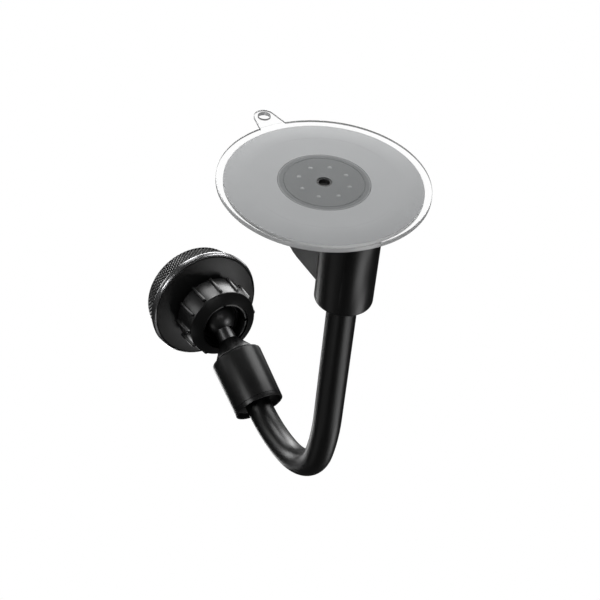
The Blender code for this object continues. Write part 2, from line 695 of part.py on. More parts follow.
def arm_core(number, material, parent, origin):
    ball = ARM_RADIUS + KNUCKLE_BULGE
    travels = hinge_travels()
    start_grip = NECK_BORE_DEPTH - FIT - FERRULE_LENGTH + FERRULE_GRIP - FIT
    end_grip = SLEEVE_GRIP + 2 * FIT + CORE_GRIP
    rings = link_rings(number, CORE_RADIUS, ball, TINY_SIDES, start_grip, end_grip)
    if number > 0:
        rings.insert(0, knuckle_ring(travels[number - 1], CORE_RADIUS / 2, ball, TINY_SIDES))
        first_peak = ball_peak(travels[number - 1], ball)
    else:
        first_peak = arm_station(-start_grip)[0]
    if number < ARM_LINKS - 1:
        rings.append(knuckle_ring(travels[number], CORE_RADIUS / 2, ball + FIT, TINY_SIDES))
        last_peak = ball_peak(travels[number], ball + FIT)
    else:
        last_peak = arm_station(arm_length() + end_grip)[0]
    bm = bmesh.new()
    loops = skin(bm, rings, closed=False)
    cap(bm, loops[0], first_peak)
    cap(bm, loops[-1], last_peak)
    new_piece(f"arm_core_{number + 1}", move(bm, -origin), material, parent)


def gooseneck():
    """Eight links from the neck to the collar. Each hangs from a pivot on its hinge. Returns the last pivot and
    its place."""
    rubber = finish("sleeve_rubber", (0.02, 0.02, 0.02), 0.45)
    steel = finish("core_steel", (0.5, 0.5, 0.5), 0.45, 1.0)
    origin = Vector((0, 0, 0))
    parent = None
    for number in range(ARM_LINKS):
        if number > 0:
            place, _ = arm_station(hinge_travels()[number - 1])
            parent = pivot(f"arm_pivot_{number}", parent, place - origin)
            origin = place
        arm_sleeve(number, rubber, parent, origin)
        arm_core(number, steel, parent, origin)
    return parent, origin


# Collar and ball stud


def collar(tip):
    """Tapered collar, with its foot at the tip's origin."""
    cavity = TIP_FERRULE_RADIUS + FIT
    step = SLEEVE_GRIP + FIT
    edge = COLLAR_TOP_RADIUS - COLLAR_EDGE_ROUND
    outline = [(BORE_RADIUS, 0), (COLLAR_FOOT_RADIUS, 0)]
    outline += arc((edge, COLLAR_LENGTH - COLLAR_EDGE_ROUND), COLLAR_EDGE_ROUND, 0, math.pi / 2, 3)
    outline += [(cavity, COLLAR_LENGTH), (cavity, step), (BORE_RADIUS, step)]
    lathe("collar", outline, finish("collar_plastic", (0.02, 0.02, 0.02), 0.35), ROUND_SIDES, tip)
    low = step + FIT
    high = low + TIP_FERRULE_LENGTH
    socket = CORE_RADIUS + FIT
    thread = STUD_SHANK_RADIUS + FIT
    grip = low + CORE_GRIP + FIT
    ferrule = [(socket, low), (TIP_FERRULE_RADIUS, low), (TIP_FERRULE_RADIUS, high), (thread, high)]
    ferrule += [(thread, grip), (socket, grip)]
    lathe("tip_ferrule", ferrule, finish("tip_steel", (0.55, 0.55, 0.56), 0.4, 1.0), SMALL_SIDES, tip)


def ball_height():
    """Height of the ball's centre over the collar's foot."""
    waist = math.sqrt(BALL_RADIUS**2 - STUD_NECK_RADIUS**2)
    return COLLAR_LENGTH + FIT + STUD_CONE_LENGTH + STUD_NECK_LENGTH + waist


def ball_stud(ball_pivot):
    waist = math.asin(STUD_NECK_RADIUS / BALL_RADIUS)
    neck_foot = -(BALL_RADIUS * math.cos(waist) + STUD_NECK_LENGTH)
    cone_foot = neck_foot - STUD_CONE_LENGTH
    shank_foot = cone_foot - STUD_SHANK_LENGTH
    ball = arc((0, 0), BALL_RADIUS, math.pi / 2, waist - math.pi / 2, 12)
    ball[0] = (0, BALL_RADIUS)
    outline = ball + [(STUD_NECK_RADIUS, neck_foot), (STUD_CONE_RADIUS, cone_foot)]
    outline += [(STUD_SHANK_RADIUS, cone_foot), (STUD_SHANK_RADIUS, shank_foot), (0, shank_foot)]
    lathe("ball_stud", outline, finish("stud_metal", (0.05, 0.05, 0.05), 0.25, 0.6), SMALL_SIDES, ball_pivot)


# Socket, lock nut and head


def ball_seat(head):
    start = -math.asin(SEAT_LIP / SEAT_INNER)
    end = math.asin(SEAT_DEPTH / SEAT_INNER)
    outline = arc((0, 0), SEAT_INNER, start, end, 6) + arc((0, 0), SEAT_OUTER, end, start, 6)
    lathe("ball_seat", outline, finish("seat_nylon", (0.03, 0.03, 0.03), 0.5), SMALL_SIDES, head)


def socket_collet(head):
    lip_outer = NUT_MOUTH_RADIUS - FIT
    taper_end = -(COLLET_LIP - COLLET_TAPER)
    flange_back = PLATE_FRONT + FIT
    bead = COLLET_INNER - COLLET_BEAD
    outline = [(0, COLLET_INNER)] + arc((0, 0), COLLET_INNER, math.pi / 2, 0, 5)[1:]
    outline += [(COLLET_INNER, -SEAT_LIP + FIT), (bead, -SEAT_LIP - COLLET_BEAD), (COLLET_INNER, -COLLET_LIP)]
    outline += [(lip_outer, -COLLET_LIP), (COLLET_RADIUS, taper_end), (COLLET_RADIUS, flange_back)]
    outline += [(COLLET_FLANGE_RADIUS, flange_back), (COLLET_FLANGE_RADIUS, COLLET_BASE), (0, COLLET_BASE)]
    black = finish("collet_plastic", (0.02, 0.02, 0.02), 0.4)
    collet = lathe("socket_collet", outline, black, MEDIUM_SIDES, head)
    wide = 2 * COLLET_RADIUS
    half = COLLET_SLOT_WIDTH / 2
    for number in range(COLLET_SLOT_CUTS):
        slot = slab(rectangle(-wide, wide, -half, half), -COLLET_LIP - FIT, COLLET_SLOT_DEPTH - COLLET_LIP)
        turn = Matrix.Rotation(math.pi * number / COLLET_SLOT_CUTS, 3, "Z")
        bmesh.ops.rotate(slot, matrix=turn, verts=slot.verts)
        combine(collet, helper(f"collet_slot_{number}", slot, head), "DIFFERENCE")
    thread = YOKE_SCREW_RADIUS + FIT
    deep = COLLET_BASE - YOKE_SCREW_BITE - FIT
    hole = rod_outline(thread, deep, 2 * COLLET_BASE)
    holes = gather(ring_of(YOKE_SCREW_COUNT, YOKE_SCREW_RING, hole, YOKE_SCREW_TURN))
    combine(collet, helper("collet_threads", holes, head), "DIFFERENCE")


def rib_ring(radius, height, rise):
    """A ring of the lock nut's outside: arcs with a rib standing on each."""
    foot = RIB_WIDTH / radius / 2
    crest = RIB_CREST_WIDTH / radius / 2
    pitch = 2 * math.pi / RIB_COUNT
    points = []
    for number in range(RIB_COUNT):
        middle = pitch * number
        steps = [(-foot, 0), (-crest, rise), (crest, rise), (foot, 0)]
        steps += [(foot + (pitch - 2 * foot) * part / 3, 0) for part in (1, 2)]
        for turn, lift in steps:
            reach = radius + lift
            points.append(Vector((reach * math.cos(middle + turn), reach * math.sin(middle + turn), height)))
    return points


def lock_nut(head):
    bore = COLLET_RADIUS + FIT
    mouth = -(COLLET_LIP + NUT_MOUTH_LAND)
    edge = mouth + NUT_FACE_RISE
    taper_end = -(COLLET_LIP - COLLET_TAPER) - FIT
    stations = [(NUT_MOUTH_RADIUS, mouth, 0), (NUT_FACE_RADIUS, edge, RIB_HEIGHT)]
    stations += [(NUT_REAR_RADIUS, NUT_REAR, RIB_HEIGHT), (bore, NUT_REAR, 0)]
    stations += [(bore, taper_end, 0), (NUT_MOUTH_RADIUS, -COLLET_LIP - FIT, 0)]
    bm = bmesh.new()
    skin(bm, [rib_ring(*station) for station in stations], closed=True)
    new_piece("lock_nut", bm, finish("nut_plastic", (0.02, 0.02, 0.02), 0.35), head)


def back_plate(head):
    hole = COLLET_RADIUS + FIT
    skirt = STACK_RADIUS - PLATE_SKIRT_WALL
    outline = [(hole, PLATE_HUB), (PLATE_RADIUS, PLATE_EDGE), (PLATE_RADIUS, PLATE_FRONT)]
    outline += [(STACK_RADIUS, PLATE_FRONT), (STACK_RADIUS, SKIRT_END), (skirt, SKIRT_END)]
    outline += [(skirt, PLATE_FRONT), (hole, PLATE_FRONT)]
    lathe("back_plate", outline, finish("plate_plastic", (0.03, 0.03, 0.03), 0.5), ROUND_SIDES, head)


def trim_ring(head):
    outer = TRIM_INNER + TRIM_WIDTH
    outline = [(TRIM_INNER, PLATE_EDGE), (outer, PLATE_EDGE), (outer + TRIM_FLARE, TRIM_FRONT)]
    outline += [(TRIM_INNER, TRIM_FRONT)]
    lathe("trim_ring", outline, finish("trim_metal", (0.6, 0.6, 0.6), 0.25, 1.0), ROUND_SIDES, head)


def knurled_bezel(head):
    front_radius = BEZEL_REAR_RADIUS - BEZEL_TAPER
    lip = BEZEL_INNER - BEZEL_LIP
    outline = [(BEZEL_INNER, BEZEL_REAR), (BEZEL_REAR_RADIUS, BEZEL_REAR), (front_radius, BEZEL_FRONT)]
    outline += [(lip, BEZEL_FRONT), (lip, BEZEL_LIP_BACK), (BEZEL_INNER, BEZEL_LIP_BACK)]
    lathe("knurled_bezel", outline, finish("bezel_metal", (0.05, 0.05, 0.05), 0.4, 0.8), ROUND_SIDES, head)


def yoke_plate(head):
    outline = [(0, YOKE_FRONT), (STACK_RADIUS, YOKE_FRONT), (STACK_RADIUS, YOKE_BACK), (0, YOKE_BACK)]
    steel = finish("yoke_steel", (0.55, 0.55, 0.56), 0.4, 1.0)
    plate = lathe("yoke_plate", outline, steel, ROUND_SIDES, head)
    hole = rod_outline(YOKE_SCREW_RADIUS + FIT, 0, 2 * YOKE_FRONT)
    holes = gather(ring_of(YOKE_SCREW_COUNT, YOKE_SCREW_RING, hole, YOKE_SCREW_TURN))
    combine(plate, helper("yoke_holes", holes, head), "DIFFERENCE")


def yoke_screws(head):
    steel = finish("screw_zinc", (0.5, 0.5, 0.5), 0.35, 1.0)
    seat = YOKE_FRONT + FIT
    tip = COLLET_BASE - YOKE_SCREW_BITE
    top = seat + YOKE_SCREW_HEAD_HEIGHT
    outline = [(0, top), (YOKE_SCREW_HEAD_RADIUS, top), (YOKE_SCREW_HEAD_RADIUS, seat)]
    outline += [(YOKE_SCREW_RADIUS, seat), (YOKE_SCREW_RADIUS, tip), (0, tip)]
    shapes = ring_of(YOKE_SCREW_COUNT, YOKE_SCREW_RING, outline, YOKE_SCREW_TURN)
    for number, shape in enumerate(shapes):
        new_piece(f"yoke_screw_{number + 1}", shape, steel, head)


def magnets(head):
    """Arcs of a magnet ring, with a gap between neighbours."""
    chrome = finish("magnet_nickel", (0.7, 0.7, 0.72), 0.2, 1.0)
    outer = STACK_RADIUS - 2 * FIT
    pitch = 2 * math.pi / MAGNET_COUNT
    for number in range(MAGNET_COUNT):
        spread = [(radius, pitch / 2 - MAGNET_GAP / radius / 2) for radius in (outer, MAGNET_INNER_RADIUS)]
        middle = pitch * number
        outline = []
        for order, (radius, half) in zip((1, -1), spread):
            outline += arc((0, 0), radius, middle - order * half, middle + order * half, 8)
        new_piece(f"magnet_{number + 1}", slab(outline, MAGNET_BACK, MAGNET_FRONT), chrome, head)


def front_plate(head):
    outline = [(0, FRONT_PLATE_FRONT), (STACK_RADIUS, FRONT_PLATE_FRONT), (STACK_RADIUS, FRONT_PLATE_BACK)]
    outline += [(0, FRONT_PLATE_BACK)]
    lathe("front_plate", outline, finish("front_metal", (0.4, 0.4, 0.42), 0.4, 1.0), ROUND_SIDES, head)


def face_pad(head):
    radius = BEZEL_INNER - BEZEL_LIP - FIT
    low = FRONT_PLATE_FRONT + FIT
    high = BEZEL_FRONT + PAD_PROUD
    outline = [(0, high), (radius, high), (radius, low), (0, low)]
    lathe("face_pad", outline, finish("pad_silicone", (0.03, 0.03, 0.03), 0.7), ROUND_SIDES, head)


def base():
    stem_pivot = pivot("stem_slide")
    lever_pivot = pivot("lever_hinge", stem_pivot, (0, 0, PIN_LEVEL))
    gel_pad()
    suction_cup()
    base_housing()
    pull_stem(stem_pivot)
    lever_pin(lever_pivot)
    locking_lever(lever_pivot)
    cam_plate()
    return_spring()
    neck_fixing()


def head_assembly(ball_pivot):
    """Everything that tilts on the ball."""
    head = pivot("ball_tilt", ball_pivot, turn=HEAD_TILT)
    ball_seat(head)
    socket_collet(head)
    lock_nut(head)
    back_plate(head)
    trim_ring(head)
    knurled_bezel(head)
    yoke_plate(head)
    yoke_screws(head)
    magnets(head)
    front_plate(head)
    face_pad(head)


def main():
    clear_scene()
    base()
    last_pivot, last_place = gooseneck()
    foot, heading = arm_station(arm_length())
    tip = pivot("tip_axis", last_pivot, foot - last_place, math.pi - heading)
    collar(tip)
    ball_pivot = pivot("ball_centre", tip, (0, 0, ball_height()))
    ball_stud(ball_pivot)
    head_assembly(ball_pivot)


main()
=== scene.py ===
"""Dresses the suction phone mount with finishes, rounded shells, a knurl, soft faces and studio light."""

import json
import math

import bmesh
import bpy
from bpy.props import FloatProperty, FloatVectorProperty, IntProperty, PointerProperty
from mathutils import Matrix, Vector

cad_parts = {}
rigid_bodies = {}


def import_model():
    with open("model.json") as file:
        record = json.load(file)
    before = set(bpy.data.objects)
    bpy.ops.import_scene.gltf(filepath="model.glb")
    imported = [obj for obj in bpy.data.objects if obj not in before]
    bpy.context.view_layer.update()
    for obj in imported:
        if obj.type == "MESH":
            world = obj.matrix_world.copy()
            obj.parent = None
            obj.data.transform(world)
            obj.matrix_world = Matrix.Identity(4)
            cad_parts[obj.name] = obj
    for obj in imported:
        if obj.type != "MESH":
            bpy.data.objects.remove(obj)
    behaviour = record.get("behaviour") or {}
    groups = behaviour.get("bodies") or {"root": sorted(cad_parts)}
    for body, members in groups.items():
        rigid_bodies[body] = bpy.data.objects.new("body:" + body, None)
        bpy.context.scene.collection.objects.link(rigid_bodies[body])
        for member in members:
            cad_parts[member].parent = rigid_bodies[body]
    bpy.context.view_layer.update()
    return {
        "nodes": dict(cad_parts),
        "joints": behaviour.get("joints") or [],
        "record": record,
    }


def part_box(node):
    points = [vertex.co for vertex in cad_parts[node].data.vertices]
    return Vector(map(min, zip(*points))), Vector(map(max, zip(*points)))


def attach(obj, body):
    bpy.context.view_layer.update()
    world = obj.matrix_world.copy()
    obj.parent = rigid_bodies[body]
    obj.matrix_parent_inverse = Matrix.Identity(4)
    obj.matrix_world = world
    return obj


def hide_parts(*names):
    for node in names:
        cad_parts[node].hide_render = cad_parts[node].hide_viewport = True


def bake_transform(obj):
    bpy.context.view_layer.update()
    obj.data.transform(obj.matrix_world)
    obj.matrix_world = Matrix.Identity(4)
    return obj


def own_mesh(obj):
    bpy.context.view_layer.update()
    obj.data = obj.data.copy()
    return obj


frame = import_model()

bl_info = {
    "name": "Phone mount dressing",
    "version": (1, 0, 0),
    "blender": (4, 5, 0),
    "location": "3D View > Sidebar > Phone mount",
    "description": "Dresses a suction phone mount with finishes, rounded shells and light",
    "category": "Object",
}

MM = 0.001
JOINTS = {joint["name"]: joint for joint in frame["joints"]}
SLOT_OF = {entry["node"]: entry["material_slot"] for entry in frame["record"]["subparts"]}

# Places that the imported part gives
BALL = Vector(JOINTS["stud_swivel"]["pos_m"])
STUD_AXIS = Vector(JOINTS["stud_swivel"]["axis"])
HEAD_AXIS = Vector(JOINTS["head_roll"]["axis"])
NECK_X = JOINTS["arm_curl_1"]["pos_m"][0]
NECK_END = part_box("base_housing")[0].z
PAD_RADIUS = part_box("gel_pad")[1].y
RIM_HEIGHT = -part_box("gel_pad")[0].z
TAB_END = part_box("gel_pad")[1].x
CUP_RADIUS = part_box("suction_cup")[1].y
CUP_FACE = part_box("suction_cup")[1].z
CUP_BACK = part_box("suction_cup")[0].z
HUB_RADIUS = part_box("pull_stem")[1].y
HUB_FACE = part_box("pull_stem")[1].z
ARM_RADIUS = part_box("arm_sleeve_2")[1].y

# Bezel of the head, from the ball's centre towards the phone
BEZEL_REAR = 13.9 * MM
BEZEL_FRONT = 24.7 * MM
BEZEL_REAR_RADIUS = 26.3 * MM
BEZEL_FRONT_RADIUS = 23.4 * MM
BEZEL_SLOPE = (BEZEL_FRONT_RADIUS - BEZEL_REAR_RADIUS) / (BEZEL_FRONT - BEZEL_REAR)

# The suction face's centre and its axis
CENTRE = (0.0, 0.0, 0.0)
PLUMB = (0.0, 0.0, 1.0)

# Heights of the finest relief on the finishes
GRAIN_HEIGHT = 0.02 * MM
LINE_HEIGHT = 0.01 * MM

# Camera that took the view: place and aim in metres, roll and lens
CAMERA_PLACE = (-0.3647, 0.24282, 0.3124)
CAMERA_AIM = (-0.0066, 0.00947, -0.0494)
CAMERA_ROLL = math.radians(6.02)
CAMERA_LENS = 87.46
CAMERA_SENSOR = 36.0


def placed(origin, direction):
    """Frame with its Z along a direction in the plane of the arm."""
    turn = math.atan2(direction.x, direction.z)
    return Matrix.Translation(origin) @ Matrix.Rotation(turn, 4, "Y")


STUD_FRAME = placed(BALL, STUD_AXIS)
HEAD_FRAME = placed(BALL, HEAD_AXIS)


def length(name, description, value):
    """A length that a user may change."""
    return FloatProperty(name=name, description=description, default=value, unit="LENGTH", precision=5)


def count(name, description, value, least):
    """A whole number that a user may change."""
    return IntProperty(name=name, description=description, default=value, min=least)


def colour(name, description, value):
    """A colour that a user may change."""
    return FloatVectorProperty(
        name=name, description=description, default=value, size=3, min=0, max=1, subtype="COLOR"
    )


class MountSizes(bpy.types.PropertyGroup):
    """Sizes of the dressing"""

    edge: length("Edge rounding", "Rounding of moulded edges", 0.35 * MM)
    gel_skin: length("Gel skin", "Thickness of the gel over the cup", 0.5 * MM)
    gel_rim: length("Gel rim", "Width of the clear rim round the cup", 2.4 * MM)
    gel_hole: length("Gel hole", "Radius of the hole in the middle of the gel", 2.95 * MM)
    tab_head: length("Tab head", "Radius of the pull tab's end", 4.0 * MM)
    tab_width: length("Tab width", "Width of the pull tab where it leaves the pad", 11.3 * MM)
    tab_hole: length("Tab hole", "Radius of the hole in the pull tab", 2.5 * MM)
    dish: length("Cup dish", "How far the cup rises towards its hub", 0.18 * MM)
    flex: length("Cup flex", "Radius inside which cup and gel dish with the pulled stem", 28.0 * MM)
    key_ring: length("Key ring", "Radius of the ring of keys on the hub", 9.6 * MM)
    key_radius: length("Key radius", "Radius of each key on the hub", 0.95 * MM)
    hub_line: length("Hub line", "Radius of the fine line round the hub", 15.0 * MM)
    straight: length("Straight run", "Straight run of the arm below the neck", 62.66 * MM)
    collar_foot: length("Collar foot", "Radius of the collar at its foot", 11.34 * MM)
    collar_top: length("Collar top", "Radius of the collar at its top", 11.75 * MM)
    collar_length: length("Collar length", "Length of the collar", 26.3 * MM)
    collar_lip: length("Collar lip", "Height of the fine lip over the collar's foot", 2.0 * MM)
    rib_width: length("Rib width", "Width of the lock nut's ribs", 1.7 * MM)
    rib_height: length("Rib height", "Height of the lock nut's ribs", 1.15 * MM)
    rib_count: count("Ribs", "Number of ribs on the lock nut", 12, 3)
    knurl_count: count("Knurl grooves", "Slanting grooves round the bezel", 75, 24)
    knurl_rows: count("Knurl rows", "Groove widths from the bezel's rear to its front", 4, 2)
    knurl_depth: length("Knurl depth", "Depth of the knurl", 0.8 * MM)
    knurl_cross: FloatProperty(
        name="Cross grooves",
        description="Depth of the knurl's second grooves, as a share of the first",
        default=0.35,
        subtype="FACTOR",
    )


class MountColours(bpy.types.PropertyGroup):
    """Colours of the dressing"""

    # The black moulding's colour also paints the shade in the knurl's grooves
    black: colour("Black moulding", "Housing, collar, nut and head back", (0.002, 0.002, 0.0021))
    sleeve: colour("Sleeve", "Sleeve of the gooseneck", (0.002, 0.002, 0.0021))
    silicone: colour("Silicone", "Cup membrane", (0.35, 0.356, 0.362))
    # Painted light on the membrane's upright outer edge, for light coming through the silicone
    silicone_edge: colour("Silicone edge", "Edge of the membrane, lit through", (0.8, 0.81, 0.81))
    hub: colour("Hub", "Dark middle of the cup", (0.105, 0.111, 0.113))
    keys: colour("Keys", "Silicone keys that show in the hub", (0.16, 0.168, 0.17))
    gel: colour("Gel", "Clear gel", (0.86, 0.88, 0.88))
    # Painted light: grey of the gel's upright outer wall, for light that the clear gel bends and scatters
    gel_edge: colour("Gel edge", "Outer wall of the clear gel", (0.6, 0.605, 0.61))
    # Painted shade along the top and foot of the gel's outer wall
    gel_line: colour("Gel line", "Edges of the clear gel's outer wall", (0.04, 0.041, 0.041))
    trim: colour("Trim", "Bright cut ring round the head", (0.58, 0.58, 0.59))
    bezel: colour("Bezel", "Knurled rim of the head", (0.22, 0.22, 0.22))
    stud: colour("Stud", "Blackened steel of the ball stud", (0.12, 0.12, 0.122))
    stem: colour("Stem", "Pull stem below the hub's face", (0.02, 0.02, 0.02))
    steel: colour("Steel", "Plated steel inside", (0.5, 0.5, 0.51))
    nickel: colour("Nickel", "Magnets", (0.65, 0.64, 0.62))
    pad: colour("Pad", "Soft face of the head", (0.014, 0.014, 0.0145))


# Nodes


def feed(tree, socket, value):
    """Gives a socket another socket to read, or a value of its own."""
    if isinstance(value, bpy.types.NodeSocket):
        tree.links.new(value, socket)
    else:
        socket.default_value = value


def give(tree, node, **inputs):
    """Feeds a node's inputs by their labels, with _ for a space."""
    for label, value in inputs.items():
        feed(tree, node.inputs[label.replace("_", " ")], value)
    return node


def new_node(tree, kind, **inputs):
    """A node with its inputs fed."""
    return give(tree, tree.nodes.new(kind), **inputs)


def worked(tree, kind, operation, *values):
    """A node that does some maths on sockets or values."""
    node = tree.nodes.new(kind)
    node.operation = operation
    for socket, value in zip(node.inputs, values):
        feed(tree, socket, value)
    return node


def maths(tree, operation, *values):
    """The result of a math node on sockets or numbers."""
    return worked(tree, "ShaderNodeMath", operation, *values).outputs[0]


def product(tree, *factors):
    """All the factors multiplied together."""
    result = factors[0]
    for factor in factors[1:]:
        result = maths(tree, "MULTIPLY", result, factor)
    return result


def ramp(tree, value, start, end):
    """Zero at the start, one at the end and a straight run between them."""
    return new_node(tree, "ShaderNodeMapRange", From_Min=start, From_Max=end, Value=value).outputs[0]


def noise(tree, scale, detail, place):
    """Noise over a point."""
    return new_node(tree, "ShaderNodeTexNoise", Vector=place, Scale=scale, Detail=detail).outputs["Fac"]


def blended(tree, share, first, second):
    """A colour between two, each a colour or a socket."""
    node = tree.nodes.new("ShaderNodeMix")
    node.data_type = "RGBA"
    give(tree, node, Factor=share)
    for label, value in (("A", first), ("B", second)):
        opaque = value if isinstance(value, bpy.types.NodeSocket) else (*value, 1.0)
        feed(tree, node.inputs[label], opaque)
    return node.outputs["Result"]


def coordinate(tree, kind):
    """The object's own coordinates, or its normals."""
    return tree.nodes.new("ShaderNodeTexCoord").outputs[kind]


def use(tree, group, **values):
    """Places an effect in a tree with its own values."""
    node = tree.nodes.new("ShaderNodeGroup")
    node.node_tree = group
    return give(tree, node, **values)


# Effects shared by several finishes, and the kinds of their sockets

FLOAT = "NodeSocketFloat"
VECTOR = "NodeSocketVector"
COLOUR = "NodeSocketColor"


def effect(name, inputs, outputs):
    """An empty node group with named value inputs and outputs."""
    group = bpy.data.node_groups.new(name, "ShaderNodeTree")
    for direction, sockets in (("INPUT", inputs), ("OUTPUT", outputs)):
        for label, kind in sockets.items():
            group.interface.new_socket(label, in_out=direction, socket_type=kind)
    return group, group.nodes.new("NodeGroupInput").outputs, group.nodes.new("NodeGroupOutput")


def made_once(build):
    """An effect that is built at its first use and found by its name after that."""

    def find():
        name = build.__name__
        return bpy.data.node_groups.get(name) or build(name)

    return find


@made_once
def moulded_skin(name):
    """Fine moulding grain, and a sheen that drifts over the surface."""
    inputs = {"Grain": FLOAT, "Sheen": FLOAT, "Drift": FLOAT}
    group, given, made = effect(name, inputs, {"Roughness": FLOAT, "Height": FLOAT, "Mask": FLOAT})
    drift_scale, speck_share = 90.0, 0.08
    place = coordinate(group, "Object")
    fine = noise(group, given["Grain"], 3.0, place)
    broad = noise(group, drift_scale, 4.0, place)
    swing = product(group, maths(group, "SUBTRACT", broad, 0.5), given["Drift"])
    speck = product(group, maths(group, "SUBTRACT", fine, 0.5), speck_share)
    sheen = maths(group, "ADD", maths(group, "ADD", given["Sheen"], swing), speck)
    give(group, made, Roughness=sheen, Height=fine, Mask=broad)
    return group


@made_once
def about_axis(name):
    """How far a point lies along an axis, and how far out from it."""
    inputs = {"Point": VECTOR, "Axis": VECTOR}
    group, given, made = effect(name, inputs, {"Along": FLOAT, "Reach": FLOAT})

    def vector(operation, *values):
        return worked(group, "ShaderNodeVectorMath", operation, *values).outputs

    arm = vector("SUBTRACT", coordinate(group, "Object"), given["Point"])["Vector"]
    along = vector("DOT_PRODUCT", arm, given["Axis"])["Value"]
    across = vector("CROSS_PRODUCT", arm, given["Axis"])["Vector"]
    give(group, made, Along=along, Reach=vector("LENGTH", across)["Value"])
    return group


@made_once
def turned_lines(name):
    """Fine lines left by turning, round an axis through a point."""
    inputs = {"Point": VECTOR, "Axis": VECTOR, "Pitch": FLOAT}
    group, given, made = effect(name, inputs, {"Height": FLOAT, "Mask": FLOAT})
    mask_scale = 160.0
    spot = use(group, about_axis(), Point=given["Point"], Axis=given["Axis"]).outputs
    joined = new_node(group, "ShaderNodeCombineXYZ", X=spot["Along"], Y=spot["Reach"])
    lines = noise(group, given["Pitch"], 2.0, joined.outputs["Vector"])
    mask = noise(group, mask_scale, 3.0, coordinate(group, "Object"))
    give(group, made, Height=lines, Mask=mask)
    return group


@made_once
def toned(name):
    """A colour that grows a little lighter and darker by a mask."""
    inputs = {"Colour": COLOUR, "Mask": FLOAT, "Swing": FLOAT}
    group, given, made = effect(name, inputs, {"Colour": COLOUR})
    level = product(group, maths(group, "SUBTRACT", given["Mask"], 0.5), given["Swing"])
    scale = worked(group, "ShaderNodeVectorMath", "SCALE", given["Colour"])
    give(group, scale, Scale=maths(group, "ADD", level, 1.0))
    give(group, made, Colour=scale.outputs["Vector"])
    return group


# Finishes


def new_finish(name):
    """A material with its shader, ready for its own nodes."""
    material = bpy.data.materials.new(name)
    material.use_nodes = True
    return material, material.node_tree, material.node_tree.nodes["Principled BSDF"]


def bumped(tree, shader, height, strength, distance):
    """Feeds a height through a bump to the shader's normal."""
    bump = new_node(tree, "ShaderNodeBump", Strength=strength, Distance=distance, Height=height)
    give(tree, shader, Normal=bump.outputs["Normal"])


def moulded(name, base, sheen, drift=0.12, grain=2600.0, bump=0.04, swing=0.35, specular=0.35):
    """Moulded plastic, rubber or silicone: its colour and sheen drift, over a fine grain."""
    material, tree, shader = new_finish(name)
    skin = use(tree, moulded_skin(), Grain=grain, Sheen=sheen, Drift=drift).outputs
    tone = use(tree, toned(), Colour=(*base, 1.0), Swing=swing, Mask=skin["Mask"])
    give(tree, shader, Base_Color=tone.outputs["Colour"], Roughness=skin["Roughness"])
    give(tree, shader, Specular_IOR_Level=specular)
    bumped(tree, shader, skin["Height"], bump, GRAIN_HEIGHT)
    return material


def turned_metal(name, base, roughness, point, axis, pitch=9000.0, swing=0.25, bump=0.15):
    """Metal with fine turning lines round an axis."""
    material, tree, shader = new_finish(name)
    lines = use(tree, turned_lines(), Point=point, Axis=axis, Pitch=pitch).outputs
    tone = use(tree, toned(), Colour=(*base, 1.0), Swing=swing, Mask=lines["Mask"])
    give(tree, shader, Base_Color=tone.outputs["Colour"], Metallic=1.0, Roughness=roughness)
    bumped(tree, shader, lines["Height"], bump, LINE_HEIGHT)
    return material


def upright_share(tree, level, steep):
    """How upright a surface stands: zero where it lies level, one where it is steep."""
    facing = tree.nodes.new("ShaderNodeSeparateXYZ")
    feed(tree, facing.inputs[0], coordinate(tree, "Normal"))
    return ramp(tree, maths(tree, "ABSOLUTE", facing.outputs["Z"]), level, steep)


def reopened(material):
    """A finish's nodes, its shader and the socket that gives its colour."""
    tree = material.node_tree
    shader = tree.nodes["Principled BSDF"]
    return tree, shader, shader.inputs["Base Color"].links[0].from_socket


def clear_gel(colours):
    """Clear gel: nearly unseen across its faces, painted grey where its outer wall is looked into, as painted
    light that the clear wall bends and scatters, and painted shade along the edges of that wall, where it
    turns the light away."""
    material, tree, shader = new_finish("clear_gel")
    spot = use(tree, about_axis(), Point=CENTRE, Axis=PLUMB).outputs
    wall_start, wall_end = PAD_RADIUS - 1.2 * MM, PAD_RADIUS - 0.6 * MM
    wall = product(tree, upright_share(tree, 0.99, 0.8), ramp(tree, spot["Reach"], wall_start, wall_end))
    inside = tree.nodes.new("ShaderNodeNewGeometry").outputs["Backfacing"]
    outside = maths(tree, "SUBTRACT", 1.0, inside)
    # Painted shade: dark lines along the far top edge and the near foot of the outer wall
    top_line = (-1.15 * MM, -0.8 * MM)
    foot_line = (-1.4 * MM, -1.75 * MM)
    far_line = product(tree, inside, ramp(tree, spot["Along"], *top_line), wall)
    near_line = product(tree, outside, ramp(tree, spot["Along"], *foot_line), wall)
    haze = use(tree, moulded_skin(), Grain=900.0, Sheen=0.0, Drift=1.0)
    haze_share, wall_share, line_share, foot_share = 0.03, 0.97, 0.85, 0.12
    cloud = product(tree, haze.outputs["Mask"], haze_share)
    solid = maths(tree, "ADD", product(tree, outside, wall, wall_share), product(tree, far_line, line_share))
    alpha = new_node(tree, "ShaderNodeClamp", Value=maths(tree, "ADD", solid, cloud))
    # Painted light: the outer wall is painted grey
    tint = blended(tree, wall, colours.gel, colours.gel_edge)
    # Share of painted shade along the wall's edges
    dark = maths(tree, "ADD", far_line, product(tree, near_line, foot_share))
    shade = blended(tree, dark, tint, colours.gel_line)
    give(tree, shader, Base_Color=shade, Alpha=alpha.outputs[0], Roughness=0.15)
    return material


def pale_edged(colours):
    """Grey silicone of the membrane, paler on its outer edge: painted light that stands in for light coming
    through the silicone.
    """
    material = moulded("grey_silicone", colours.silicone, 0.4, swing=0.05, bump=0.04, specular=0.12)
    tree, shader, plain = reopened(material)
    reach = use(tree, about_axis(), Point=CENTRE, Axis=PLUMB).outputs["Reach"]
    edge_start, edge_end = CUP_RADIUS - 2.0 * MM, CUP_RADIUS - MM
    # Painted light: the upright outer edge of the membrane is painted paler
    edge = product(tree, upright_share(tree, 0.95, 0.4), ramp(tree, reach, edge_start, edge_end))
    give(tree, shader, Base_Color=blended(tree, edge, plain, colours.silicone_edge))
    return material


